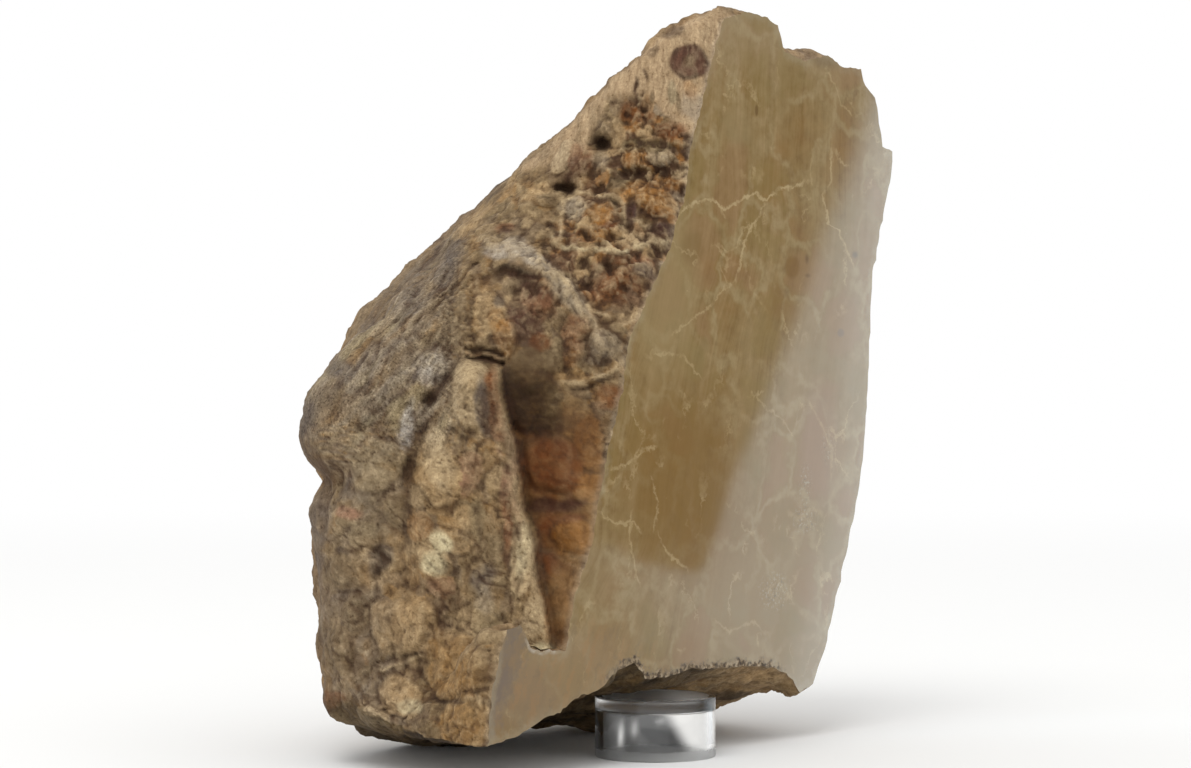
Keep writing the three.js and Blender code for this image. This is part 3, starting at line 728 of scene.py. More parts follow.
stain = mix(STAINS["tan"], STAINS["drab"], 0.55 + 0.6 * broad)
stain = dyed(stain, ("sand", 0.3 * (head_number > 0.6) + 0.25 * mottle))
stain = patched(stain, (1 - peak_zone) * (0.5 + 0.5 * on_flank), (
    ("slate", 0, 0.2, 0.4), ("umber", 0.2, 0.34, 0.35), ("clay", 0.34, 0.55, 0.35),
    ("pale", 0.86, 1, 0.35), ("honey", 0.74, 0.86, 0.4)))
stain = dyed(
    stain,
    ("slate", off_flank * 0.5 * smooth(0.0, 0.8, back_tint)),
    ("amber", off_flank * 0.35 * smooth(0.2, 0.9, -back_tint)),
    ("sand", off_flank * 0.45 * smooth(0.1, 1.0, bedding)),
    ("umber", off_flank * 0.5 * smooth(0.2, 1.1, -bedding)))
print("mean of the back:", shown(stain, off_flank))

# %% Gray slope, strands and peak
streak = swell(strand_point, 2.6, 521) + 0.6 * swell(strand_point, 1.2, 522)
peak_fibre = smooth(0.15, 0.6, -swell(upright_point, 1.6, 483))
strand_clay = STAINS["clay"] * [1.12, 1.14, 1.06]
peak_sand = STAINS["sand"] * [1.13, 1.16, 1.27] + 0.01
stain = dyed(
    stain,
    ("slate", gray_share * (0.32 + 0.42 * mottle)),
    ("ash", gray_share * 0.35 * smooth(0.2, 1.0, strands + 0.5 * fleck)),
    ("umber", strand_zone * 0.75 * smooth(0.25, 0.7, -streak)),
    (strand_clay, strand_zone * 0.65 * smooth(0.2, 0.7, streak)),
    (STAINS["ochre"] * 0.8, strand_zone * 0.45 * smooth(0.75, 1.1, broad + 0.5 * streak)),
    (peak_sand, peak_zone * (0.85 - 0.4 * peak_fibre)))
print("mean of the strands:", shown(stain, strand_zone), "and of the peak:", shown(stain, peak_zone))

# %% Cavern and crevice
stain = dyed(
    stain,
    ("rust", (cavern_zone * 0.45 + crevice_zone) * (0.65 + 0.4 * mottle)),
    ("amber", 0.5 * still_zone * (1 - crevice_zone) * smooth(78, 70, height)))
stain = patched(stain, cavern_zone, (
    ("umber", 0, 0.24, 0.7), ("amber", 0.24, 0.42, 0.7), ("sand", 0.42, 0.56, 0.8),
    ("olive", 0.56, 0.68, 0.7), ("ash", 0.68, 0.76, 0.7), ("maroon", 0.76, 0.86, 0.6),
    ("pale", 0.93, 1, 0.8)))
print("mean of the cavern:", shown(stain, cavern_zone))

# %% [markdown]
# ## Stains with a place of their own
# Each pillow has its own stain, a little darker along its rings. Blotches are ovals with torn edges, laid
# wherever the stone has a spot that no rule explains: rust in a hollow, frost on the arch, a dark streak.
# Blotches of the shadow stain are painted shade, under the arch and in the top of the crevice, and a few
# others, marked below, add painted shade beside the rib and in a groove. Most ridges are paler along their
# crests, because these are the first to wear; the one of the shadow stain is a painted shadow line.

# %% Blotches of the peak and the cavern: across, height, half width, half height, turn, stain, strength
UPPER_BLOTCHES = [
    (-4, 135.4, 4.5, 2.6, -20, "rust", 0.8), (-5.4, 132.6, 2, 1.4, 0, "amber", 0.9),
    (2.4, 131.8, 3, 1, -10, "umber", 0.8), (-10, 111.8, 2.6, 2.2, 0, "brick", 0.5),
    (-14.5, 108.6, 3, 1.6, 0, "rust", 0.9), (-8, 98.5, 6, 4.5, 0, "rust", 0.5),
    (-17.3, 122.3, 2.4, 1.6, 0, "maroon", 0.7), (-26.5, 104.6, 5.6, 2.2, -32, "frost", 0.9),
    (-31.8, 104.6, 4.8, 2.2, -6, "frost", 0.75), (-17.3, 115.1, 2.6, 2.8, 0, "ash", 0.9),
    (-8.3, 116, 1.4, 2, 0, "pale", 0.7), (-11.6, 113.8, 2.2, 2.8, 0, "ochre", 0.8),
    (-11, 108.5, 5, 1.2, 0, "ochre", 0.8), (-2.6, 117.5, 5.5, 3.2, -12, "ochre", 0.8),
    (-1.8, 128.8, 6, 1.4, 0, "olive", 0.8), (-4.9, 123, 4.6, 1.7, 5, "olive", 0.8),
    (2.4, 132, 3.4, 2, 0, "rust", 0.7), (-24.5, 118.5, 3.6, 1.5, 45, "sand", 0.8),
    (-4.4, 107.2, 4.6, 2.2, 0, "pale", 0.7), (-3, 101, 2, 1.6, 0, "slate", 0.8),
    (-5.6, 113.4, 3.8, 3, 0, "umber", 0.45), (-15.5, 124.6, 2.6, 3, 0, "maroon", 0.6),
    (0.4, 110.2, 2.8, 1.7, 0, "plum", 0.9), (-4.8, 113, 1.1, 3, 0, "plum", 0.8),
    (-0.2, 109.5, 2.6, 1.6, 0, "maroon", 0.7), (-5.2, 113.7, 1.1, 3, 0, "maroon", 0.7),
    (2.2, 120.3, 3, 2, 0, "amber", 0.8), (-3.4, 120, 3, 1.8, 0, "amber", 0.8),
    (8, 136.8, 2.4, 3.4, 0, "ash", 0.6), (7.9, 140.4, 1.5, 2.4, 0, "amber", 0.45),
    (3.8, 139.6, 0.9, 2.4, 0, "clay", 0.9), (-4.1, 141.9, 0.5, 1.7, 8, "umber", 0.95),
    (-2.2, 143.8, 0.4, 1.4, 6, "umber", 0.75), (-3.2, 138.8, 0.5, 1.8, 6, "umber", 0.8),
    (0.6, 147.8, 1.4, 0.5, 35, "umber", 0.5), (5.0, 137.5, 0.6, 2.0, 5, "drab", 0.9),
    (-0.6, 139.2, 0.4, 1.5, 0, "drab", 0.8), (3.8, 139.5, 1, 2.2, 0, "clay", 0.8),
    (-41.5, 105, 1.8, 3.6, -35, "slate", 0.8), (-43.5, 101, 2, 3, -35, "slate", 0.7),
    # The shadow blotch that begins the next row is painted shade under the arch.
    (-30.7, 100.5, 5.0, 1.3, -8, "shadow", 0.75), (-29.5, 99.5, 1.6, 1.0, 0, "maroon", 0.7),
    (-30.9, 110.3, 2, 1.4, 0, "brick", 0.6), (-11.8, 125.6, 1.6, 2.6, 0, "ash", 0.5),
    (-5, 123, 3, 1.2, 0, "umber", 0.8), (4, 151.8, 2.6, 0.9, 28, "umber", 0.7),
    (-48.5, 108, 2.4, 7, -48, "sand", 0.5), (-38, 113, 2, 6, -48, "sand", 0.6),
]
print(len(UPPER_BLOTCHES), "upper blotches")

# %% Blotches of the arch, the left slope and the upper crevice, in the same measures
MIDDLE_BLOTCHES = [
    (-18.5, 96.5, 7, 1.9, -50, "ash", 0.9), (-25, 76, 6.5, 9, 8, "olive", 0.6),
    # The shadow blotches in the next two rows are painted shade in the top of the crevice.
    (-22, 70.5, 4.5, 3.2, 20, "shadow", 0.4), (-26.5, 72, 3.5, 7.5, 0, "shadow", 0.3),
    (-24.6, 69.3, 3.6, 1.2, 10, "shadow", 0.5), (-25.5, 83, 5.5, 4, 0, "drab", 0.8),
    (-11, 97.5, 4, 3, 0, "rust", 0.6), (-63.3, 79.9, 2.2, 2.2, 0, "slate", 0.9),
    (-69, 71.5, 2.4, 4, 0, "slate", 0.8), (-46, 81.5, 4, 3, 0, "ash", 0.8),
    (-50.9, 70, 1.7, 4.6, -12, "frost", 0.9), (-47.5, 79.5, 3, 2, 0, "frost", 0.4),
    # The slate blotch that begins the next row is a strip of painted shade on the rib.
    (-35.3, 73.3, 1.3, 6.5, 4, "slate", 1), (-33.2, 77, 1.2, 5.5, 8, "rust", 0.8),
    (-39.5, 80.6, 3.6, 2.4, 0, "pale", 0.8), (-34, 72.5, 1.8, 5, 0, "umber", 0.6),
    (-12, 84, 3, 1.4, 0, "slate", 0.7), (-8.9, 76, 4, 2.4, 0, "rust", 0.7),
    (-51, 94, 2.2, 5, -38, "slate", 0.6), (-26.5, 90, 3, 3.6, 0, "maroon", 0.7),
    (-23.5, 93.8, 2.8, 2, 0, "brick", 0.6), (-24, 87, 2.4, 1.6, 0, "rust", 0.7),
    (-33, 91.5, 1.8, 2.6, 0, "ochre", 0.35), (-32, 95.4, 1.5, 1.4, 0, "slate", 0.8),
    (-34.8, 98.4, 3, 1.4, 0, "umber", 0.6), (-26, 97.5, 2.6, 2, -40, "maroon", 0.7),
    (-29.4, 91.5, 1.3, 4.6, 6, "maroon", 0.6), (-57, 98, 2, 7, -42, "sand", 0.5),
]
print(len(MIDDLE_BLOTCHES), "middle blotches")

# %% Blotches of the rib, the heads and the lower crevice, in the same measures
LOWER_BLOTCHES = [
    (-43.3, 46.4, 1.9, 2.4, 20, "cream", 1), (-45.2, 43, 2.6, 2.6, 0, "cream", 1),
    (-42.4, 34.2, 5, 2.2, 0, "umber", 0.6), (-35.5, 39.4, 2.4, 2.4, 0, "slate", 0.9),
    (-34.6, 35, 1.8, 3, 0, "ash", 0.6), (-59.5, 50, 8, 8, 0, "clay", 0.25),
    (-21, 62, 6, 6, 0, "rust", 0.7), (-19.5, 36, 4, 8, -8, "ochre", 0.55),
    (-19, 38, 3.4, 9, -8, "clay", 0.3), (-19, 46.5, 5, 2.4, 0, "amber", 0.7),
    (-57, 42, 7, 6, 0, "sand", 0.35), (-68.5, 60.3, 2, 5, 0, "umber", 0.6),
    # The slate blotch at the end of the next row is painted shade in the groove there.
    (-62, 52, 2.4, 1.1, 0, "rose", 1), (-56.9, 43, 1.8, 3.4, -25, "slate", 0.8),
    (-70, 39.5, 2, 6, 0, "slate", 0.7), (-69, 50, 2.4, 5, 0, "slate", 0.6),
    (-66, 14, 2.4, 1.8, 0, "brick", 0.7), (-53.3, 11.2, 2.4, 1.6, 0, "slate", 0.6),
    (-49.6, 20.7, 2, 1.8, 0, "umber", 0.7), (-50.5, 14, 2.4, 1.6, 0, "cream", 0.6),
    (-44, 63, 2.6, 6, 14, "pale", 0.7), (-29.6, 60, 1.5, 5, -14, "rose", 1),
    (-30.2, 50, 1.1, 7, -5, "brick", 0.8), (-27, 44.5, 1.6, 6, -8, "cream", 0.5),
    (-23.2, 25.4, 3.4, 1.6, -10, "cream", 0.9), (-36.2, 51, 1.6, 5, 0, "clay", 0.8),
    # The maroon and umber blotches in the next row and at the start of the one after are partly the rib's
    # reddish side face and partly painted shade.
    (-29.9, 65.5, 1.9, 5, 10, "maroon", 0.6), (-29.3, 57, 1.6, 6, 8, "umber", 0.6),
    (-28.8, 49, 1.3, 4, 6, "umber", 0.45), (-21, 54, 6, 1.8, 0, "maroon", 0.9),
    (-19, 51, 4, 1.0, 10, "brick", 0.7), (-21, 59.5, 4.5, 1.6, 0, "rust", 0.7),
]
print(len(LOWER_BLOTCHES), "lower blotches")

# %% Lay the pillows, blotches and ridges
highest_rise = pillow_rise.max(axis=0)
for (*_, rise, name), own_rise, own_way in zip(PILLOWS, pillow_rise, pillow_way):
    top = (own_rise >= highest_rise - 1e-6) * smooth(0, 0.8 * rise, own_rise)
    ringed = mix(STAINS[name] * 1.04, STAINS[name] * 0.62,
                 0.25 + 0.25 * np.cos(2 * np.pi * (PILLOW_RINGS * own_way + 0.2 * mottle)))
    stain = mix(stain, ringed, on_flank * top * (0.62 + 0.22 * mottle))
for *place, name, strength in UPPER_BLOTCHES + MIDDLE_BLOTCHES + LOWER_BLOTCHES:
    inside = 1 - smooth(0.6, 1.3, oval(wavy_across, wavy_height, *place) + 0.2 * mottle + ragged)
    stain = dyed(stain, (name, on_flank * inside * strength))
for line, half_width, _, name in RIDGES:
    crest = bell(to_line(line, wavy_across, wavy_height), half_width) * smooth(-0.7, 0.4, fleck)
    stain = dyed(stain, (name, on_flank * 0.75 * crest))
print("mean of the flank:", shown(stain, on_flank))

# %% [markdown]
# ## The inclusion, the fine stains and painted shade in the hollows
# A dark oval inclusion sits in the pale peak, with a darker rim and a lighter heart. Then come thin layers
# that belong to the fine relief: a worn edge round the polished face, dark seams round the pillows, dark and
# pale contour lines, flecks, painted shade in every hollow, and crests made paler, partly as wear and partly
# as a painted highlight. Worked out from the relief itself, they always fall in the right place.

# %% Inclusion and edges
INCLUSION = (7.4, 146.4, 4.3, 3.7, 20)
inclusion = oval(across + 0.4 * wobble[0], height + 0.4 * wobble[1], *INCLUSION) + 0.5 * ragged
pillow_edge = np.abs(pillow_way.min(axis=0) - 1)
stain = dyed(
    stain,
    (STAINS["maroon"] * [1.18, 1.1, 0.95], on_flank * 0.92 * (1 - smooth(0.9, 1.08, inclusion))),
    (STAINS["umber"] * 0.8, on_flank * 0.85 * bell(inclusion - 0.9, 0.16) * smooth(-0.6, 0.2, mottle)),
    (STAINS["rose"] * 0.7, on_flank * 0.6 * bell(inclusion - 0.62, 0.14) * smooth(147.5, 145, height)),
    ("drab", on_flank * 0.6 * (1 - smooth(0.2, 0.55, inclusion))),
    ("ash", on_flank * 0.45 * (1 - smooth(0, 1.5, from_rim))),
    ("umber", on_flank * 0.5 * bell(pillow_edge, 0.1) * smooth(-0.3, 0.8, mottle) * (1 - peak_zone)))
print("mean of the inclusion:", shown(stain, on_flank * (inclusion < 1)))

# %% Lines, flecks, hollows and crests
still = 1 - 0.8 * still_zone
fleck_share = (0.55 + 0.45 * np.maximum(cavern_zone, gray_share) - 0.4 * peak_zone) * (1 - still_zone)
stain = dyed(
    stain,
    ("umber", (0.4 - 0.3 * peak_zone) * still * dark_line),
    ("pale", 0.22 * still * pale_line),
    ("umber", 0.55 * fleck_share * smooth(0.35, 1.0, -fleck)),
    ("pale", 0.35 * fleck_share * smooth(0.45, 1.1, fleck)),
    # Painted shade: deep hollows take the shadow stain and small ones umber; crests turn paler, partly as
    # wear and partly as a painted highlight.
    ("shadow", 0.75 * smooth(0.05, 1.5, wide_hollow) * (1 - 0.9 * crevice_zone)),
    ("umber", (0.5 + 0.2 * cavern_zone) * smooth(0.03, 0.35, near_hollow) * (1 - 0.6 * peak_zone) * still),
    ("pale", (0.3 + 0.12 * cavern_zone) * smooth(0.05, 0.4, -near_hollow) * still))
print("mean of the hollows:", shown(stain, (wide_hollow > 1).astype(float)))

# %% [markdown]
# ## The crevice, the underside and the balance of it all
# The crevice is stained golden brown, and filters darken its upper part as painted shade where little light
# gets in, with faint curls on its worn walls. A filter suits it better than a wash, because the marks below
# it stay visible. The underside shows the dark and light edges of its layers, and is darkened as painted
# shade where it faces down. The last filters set the warmth of the whole rind.

# %% Crevice
curls = swell(bent + 1.6 * np.stack([wobble[0], 0 * wobble[0], wobble[1]], axis=-1), 3.4, 541)
in_crevice = crevice_zone * on_flank * (1 - 0.25 * smooth(0.1, 0.7, mottle))
golden_and_shade = still_zone / 0.75 * smooth(61, 68, height) * (1 - smooth(79, 84, height)) * (1 - 0.8 * in_crevice)
stain = dyed(
    stain,
    ("umber", 0.45 * still_zone * bell(curls - 0.15, 0.12)),
    ("sand", 0.3 * still_zone * smooth(0.4, 0.9, curls) * smooth(76, 68, height)),
    ("maroon", 0.35 * still_zone * smooth(0.3, 0.9, -curls)))
stain = filtered(stain, in_crevice * smooth(42, 52, height), (0.90, 0.80, 0.60))
# Painted shade: this filter and the next darken the upper crevice, where the rib shades it, while they also
# warm it towards golden brown.
stain = filtered(stain, in_crevice * smooth(64, 71, height), (0.72, 0.60, 0.40))
stain = filtered(stain, golden_and_shade, (0.58, 0.48, 0.34))
print("mean of the crevice:", shown(stain, in_crevice))

# %% Underside and balance
# Where the skin faces down it is darkened: olive at its left is painted shade, and the shadow stain along its
# layer lines is partly their dark edges and partly painted shade. The sand is its own colour.
under = smooth(0.15, 0.6, -normal[..., 2])
layer_point = bare / [9, 5, 1]
layer_lines = swell(layer_point, 1.5, 511) + 0.6 * swell(layer_point, 0.7, 512)
stain = dyed(
    stain,
    ("olive", under * 0.6 * smooth(30, 5, bare[..., 0])),
    ("sand", under * smooth(22, 40, bare[..., 0]) * (0.35 + 0.3 * mottle)),
    ("shadow", under * 0.7 * smooth(0.1, 0.8, layer_lines)),
    ("sand", under * 0.3 * smooth(0, 20, bare[..., 0]) * smooth(0.2, 0.9, -layer_lines)))
stain = filtered(stain, strand_zone, (0.95, 0.985, 1.03))
stain = filtered(stain, on_flank * (1 - gray_share) * (1 - peak_zone), (0.98, 0.955, 0.89))
stain = stain * [0.86, 0.86, 0.87]
print("mean of the flank:", shown(stain, on_flank), "and of the back:", shown(stain, off_flank))

# %% [markdown]
# ## The polished face
# The face could be one large polygon, but then it would have no points inside to carry the distance to its
# rim. So it is filled with small triangles between the rim's own points, two rows set in from them, and a
# lattice of staggered rows. A Delaunay triangulation joins them, and keeps to the outline.


# %% Inside the outline, and how far from it
edge_line = skin[0][:, [0, 2]]


def to_rim(p):
    """The distance from each point to the nearest side of the face's outline."""
    first, second = edge_line[None], np.roll(edge_line, -1, axis=0)[None]
    side = second - first
    t = np.clip(((p[:, None] - first) * side).sum(-1) / np.maximum((side ** 2).sum(-1), 1e-12), 0, 1)
    return np.linalg.norm(p[:, None] - first - side * t[..., None], axis=-1).min(axis=1)


def inside_face(p):
    """True where a ray to the right crosses the outline an odd number of times."""
    (x1, z1), (x2, z2) = edge_line.T[:, None], np.roll(edge_line, -1, axis=0).T[:, None]
    crosses = ((z1 > p[:, 1:]) != (z2 > p[:, 1:])) & (
        p[:, :1] < x1 + (p[:, 1:] - z1) * (x2 - x1) / np.where(z2 == z1, 1e-9, z2 - z1))
    return crosses.sum(axis=1) % 2 == 1


print("the face's middle is", to_rim(np.array([[30.0, 90.0]])).round(1), "mm from the rim")

# %% Triangles of the polished face
RIM_INSETS = (0.7, 1.5)
LATTICE_STEP = 2.2
LATTICE_CLEARANCE = 1.9
face_rows = [edge_line]
for way_in in RIM_INSETS:
    row = edge_line - outward[:, [0, 2]] * way_in
    row = row[inside_face(row)]
    face_rows.append(row[to_rim(row) > 0.9 * way_in])
lattice_x, lattice_z = np.meshgrid(np.arange(-54, 90, LATTICE_STEP), np.arange(6, 162, LATTICE_STEP))
lattice_x[1::2] += LATTICE_STEP / 2
lattice = np.column_stack([lattice_x.ravel(), lattice_z.ravel()])
lattice = lattice[inside_face(lattice)]
face_points = np.concatenate(face_rows + [lattice[to_rim(lattice) > LATTICE_CLEARANCE]])
_, _, face_triangles, origin, _, _ = delaunay_2d_cdt(
    [Vector(p) for p in face_points], [], [list(range(columns))[::-1]], 1, 1e-4)
first_origin = np.array([min(ids, default=-1) for ids in origin])
face_triangles = first_origin[np.array(face_triangles)]
print("face points:", len(face_points), "kept:", len(origin), "triangles:", len(face_triangles))

# %% [markdown]
# ## One closed stone
# The grid's rings become quads. Behind the girth only the kept columns go on, so a row of triangles joins
# the close columns to them, and a fan closes the last ring on the back point. A face of its own would leave
# a slit along the rim, so the polished face shares the first ring's points, and that ring is marked sharp.

# %% Numbers of the points
used = np.zeros((rings, columns), bool)
used[:RINGS_TO_GIRTH + 1] = True
used[:, kept] = True
number = np.cumsum(used).reshape(rings, columns) - 1
pole = used.sum()
inner_face = np.insert(face_points[columns:], 1, 0, axis=1)
stone_points = np.concatenate([skin[used], back_point, inner_face])
print("points of the stone:", len(stone_points))


# %% Faces of the skin
def quads_of(grid, closed=True):
    """Four corners for each step along a grid of point numbers, which may close on itself sideways."""
    grid = np.append(grid, grid[:, :1], axis=1) if closed else grid
    return np.stack([grid[:-1, :-1], grid[:-1, 1:], grid[1:, 1:], grid[1:, :-1]], axis=-1).reshape(-1, 4)


girth, thinned, last = number[RINGS_TO_GIRTH], number[RINGS_TO_GIRTH + 1, kept], number[-1, kept]
owner = thinned[np.searchsorted(kept, np.arange(columns), side="right") - 1]
stone_quads = np.concatenate([quads_of(number[:RINGS_TO_GIRTH + 1]),
                              quads_of(number[RINGS_TO_GIRTH + 1:, kept])])
skin_triangles = np.concatenate([
    np.stack([girth, np.roll(girth, -1), owner], axis=-1),
    np.stack([np.roll(girth[kept], -1), np.roll(thinned, -1), thinned], axis=-1),
    np.stack([last, np.roll(last, -1), np.full(len(last), pole)], axis=-1)])
face_triangles = np.where(face_triangles < columns, face_triangles, face_triangles - columns + pole + 1)
print("stone triangles:", 2 * len(stone_quads) + len(skin_triangles) + len(face_triangles))


# %% Making a piece, and keeping values on it
def mesh_piece(name, points, faces):
    """An object with its place in its mesh: the points are shifted to the frame and then put in metres."""
    mesh = bpy.data.meshes.new(name)
    mesh.from_pydata(((points + SHIFT) * MM).tolist(), [], faces)
    piece = bpy.data.objects.new(name, mesh)
    bpy.context.scene.collection.objects.link(piece)
    return piece


def keep(piece, name, values):
    """Keep one number for each point as an attribute, or three as a colour with an alpha of one."""
    if values.ndim == 1:
        piece.data.attributes.new(name, "FLOAT", "POINT").data.foreach_set("value", values)
    else:
        rows = np.column_stack([values, np.ones(len(values))])
        piece.data.attributes.new(name, "FLOAT_COLOR", "POINT").data.foreach_set("color", rows.ravel())


print("the stone's origin in the frame:", (SHIFT * MM).round(4), "metres")

# %% The stone
stone = mesh_piece("polished_stromatolite", stone_points,
                   stone_quads.tolist() + skin_triangles.tolist() + face_triangles.tolist())
unstained = len(stone_points) - pole
zones = np.stack([strand_zone, peak_zone, still_zone], axis=-1)
keep(stone, "stain", np.concatenate([stain[used], np.tile(STAINS["drab"], (unstained, 1))]))
keep(stone, "zones", np.concatenate([zones[used], np.zeros((unstained, 3))]))
keep(stone, "rim_way", np.concatenate([np.zeros(pole + 1), to_rim(face_points[columns:])]))
is_face = np.arange(len(stone.data.polygons)) >= len(stone_quads) + len(skin_triangles)
stone.data.polygons.foreach_set("use_smooth", ~is_face)
stone.data.polygons.foreach_set("material_index", is_face.astype(int))
ends = np.zeros(len(stone.data.edges) * 2, int)
stone.data.edges.foreach_get("vertices", ends)
low_end, high_end = np.sort(ends.reshape(-1, 2), axis=1).T
on_rim = (high_end < columns) & ((high_end - low_end == 1) | (high_end - low_end == columns - 1))
stone.data.attributes.new("sharp_edge", "BOOLEAN", "EDGE").data.foreach_set("value", on_rim)
print("sharp edges round the face:", on_rim.sum())

# %% [markdown]
# ## Writing materials as sums
# A material is a small calculation, and a calculation reads best as a formula. Nodes could also be placed one
# by one, but their sums would then take several lines each. The first class below wraps one output of a node,
# and each sum or product of such wires adds a Math node. Every other node comes from one method of the second
# class, which takes the node's type, its settings and then its sockets. A finish adds short names to it.


# %% Wires
class Wire:
    """One output of a shader node, with the sums and products that the finishes use."""

    def __init__(self, finish, socket):
        self.finish, self.socket = finish, socket

    def math(self, operation, *others):
        return self.finish.math(operation, self, *others)

    def __add__(self, other):
        return self.math("ADD", other)

    def __sub__(self, other):
        return self.math("SUBTRACT", other)

    def __rsub__(self, other):
        return self.finish.math("SUBTRACT", other, self)

    def __mul__(self, other):
        return self.math("MULTIPLY", other)

    def __truediv__(self, other):
        return self.math("DIVIDE", other)

    def __rtruediv__(self, other):
        return self.finish.math("DIVIDE", other, self)

    def __abs__(self):
        return self.math("ABSOLUTE")

    __radd__ = __add__
    __rmul__ = __mul__


print("what a wire can do:", [name.strip("_") for name in vars(Wire) if callable(vars(Wire)[name])])


# %% The tree of a material
class Tree:
    """A material under construction, and the one method that adds its nodes."""

    def __init__(self, name):
        self.material = bpy.data.materials.new(name)
        self.material.use_nodes = True
        self.tree = self.material.node_tree
        self.tree.nodes.clear()

    def node(self, kind, settings=None, sockets=None):
        """Add a node: its settings are set first, then each socket gets a value or a wire."""
        node = self.tree.nodes.new(kind)
        for key, value in (settings or {}).items():
            if key == "stops":
                ramp = node.color_ramp
                while len(ramp.elements) < len(value):
                    ramp.elements.new(1)
                for element, (place, rgb) in zip(ramp.elements, value):
                    element.position, element.color = place, (*rgb, 1)
            elif key == "points":
                curve = node.mapping.curves[0]
                while len(curve.points) < len(value):
                    curve.points.new(0.5, 0.5)
                for point, place in zip(curve.points, value):
                    point.location, point.handle_type = place, "VECTOR"
                node.mapping.update()
            else:
                setattr(node, key, value)
        for key, value in (sockets or {}).items():
            if isinstance(value, Wire):
                self.tree.links.new(value.socket, node.inputs[key])
            else:
                node.inputs[key].default_value = value
        return node

    def out(self, kind, output, settings=None, sockets=None):
        """A wire from one output of a new node."""
        return Wire(self, self.node(kind, settings, sockets).outputs[output])

    def math(self, operation, *values):
        return self.out("ShaderNodeMath", 0, {"operation": operation}, dict(enumerate(values)))

    def surface(self, kind, sockets):
        """The shader of the surface, wired to the material's output."""
        self.node("ShaderNodeOutputMaterial", None, {"Surface": self.out(kind, 0, None, sockets)})


print("what a tree can do:", [name for name in vars(Tree) if not name.startswith("_")])


# %% Finishes
class Finish(Tree):
    """A tree with short names for the nodes that come up often."""

    def attribute(self, name, output):
        return self.out("ShaderNodeAttribute", output, {"attribute_name": name})

    def noise(self, vector, scale, detail=3, roughness=0.55, output=0):
        return self.out("ShaderNodeTexNoise", output, None,
                        {"Vector": vector, "Scale": scale, "Detail": detail, "Roughness": roughness})

    def smooth(self, value, low, high, to_low=0.0, to_high=1.0):
        """The S-curve between two values of the range from low to high, which may also run downwards."""
        return self.out("ShaderNodeMapRange", 0, {"interpolation_type": "SMOOTHSTEP"},
                        {"Value": value, "From Min": low, "From Max": high, "To Min": to_low,
                         "To Max": to_high})

    def ramp(self, value, *stops):
        """A colour for a value, straight between stops of a place and a colour."""
        return self.out("ShaderNodeValToRGB", 0, {"stops": stops}, {"Fac": value})

    def blend(self, share, under, over, how="MIX"):
        return self.out("ShaderNodeMix", 2, {"data_type": "RGBA", "blend_type": how},
                        {0: share, 6: under if isinstance(under, Wire) else (*under, 1),
                         7: over if isinstance(over, Wire) else (*over, 1)})

    def washed(self, tone, *layers):
        """Lay one wash after another over a tone: each is its share and its screen colour."""
        for share, rgb in layers:
            tone = self.blend(share, tone, linear(*rgb))
        return tone

    def vector(self, operation, first, second):
        return self.out("ShaderNodeVectorMath", 0, {"operation": operation}, {0: first, 1: second})

    def length(self, vector):
        return self.out("ShaderNodeVectorMath", "Value", {"operation": "LENGTH"}, {0: vector})

    def split(self, vector):
        """The x, y and z of a vector."""
        parts = self.node("ShaderNodeSeparateXYZ", None, {"Vector": vector})
        return [Wire(self, output) for output in parts.outputs]

    def join(self, x, y, z):
        return self.out("ShaderNodeCombineXYZ", 0, None, {"X": x, "Y": y, "Z": z})

    def warped(self, vector, size, scale, detail, roughness):
        """A vector moved by a noise in three parts, times a size."""
        noise = self.noise(vector, scale, detail, roughness, "Color")
        return self.vector("ADD", vector, self.vector("MULTIPLY", noise, (size, size, size)))

    def millimetres(self):
        """Object coordinates in the stone's own axes: metres times a thousand, less the shift."""
        return self.out("ShaderNodeMapping", 0, None,
                        {"Vector": self.out("ShaderNodeTexCoord", "Object"),
                         "Scale": (1 / MM, 1 / MM, 1 / MM), "Location": tuple(-SHIFT)})


print("what a finish can do besides:", [name for name in vars(Finish) if not name.startswith("_")])


# %% [markdown]
# ## Finish of the rind
# Old rind is dry and matt. Its broad colour comes from the attribute of stains, which also holds painted
# shade in the hollows, the crevice and on the underside, and finer noise breaks it up in three steps:
# marbling, grain and grit. On the left slope and the peak the marbling is drawn out in fibres, and it is
# calmer on the worn walls. An image would show its seams on a stone that is seen from all sides, and noise in
# millimetres has none. The bump gives the grain that is too fine for the mesh.

# %% Rind: where each kind of grain lies
rind = Finish("weathered_rind")
own = rind.millimetres()
x, y, z = rind.split(own)
strand_share, peak_share, still_share = rind.split(rind.attribute("zones", "Vector"))
side = x * math.cos(FLANK_TURN) - y * math.sin(FLANK_TURN)
wave = rind.noise(own, 0.22, 2, 0.5)
strand_way = rind.join(side * math.sin(STRAND_TURN) - z * math.cos(STRAND_TURN) + wave * 3.0,
                       (side * math.cos(STRAND_TURN) + z * math.sin(STRAND_TURN)) * 0.16, y * 0.16)
upright_way = rind.join(side + wave * 3.0, y * 0.14, z * 0.14)
calm = 1 - still_share * 0.55
marble = rind.noise(rind.warped(own, 5, 0.3, 2, 0.5), 0.42, 4, 0.6)
marble = marble * (1 - strand_share * 0.75) + rind.noise(strand_way, 1.1, 4, 0.6) * strand_share * 0.75
marble = marble * (1 - peak_share * 0.9) + rind.noise(upright_way, 1.3, 4, 0.65) * peak_share * 0.9
marble, grain, grit = ((noise - 0.5) * calm + 0.5 for noise in
                       (marble, rind.noise(own, 1.3, 4, 0.6), rind.noise(own, 2.3, 2, 0.6)))
print("nodes for the grain of the rind:", len(rind.tree.nodes))

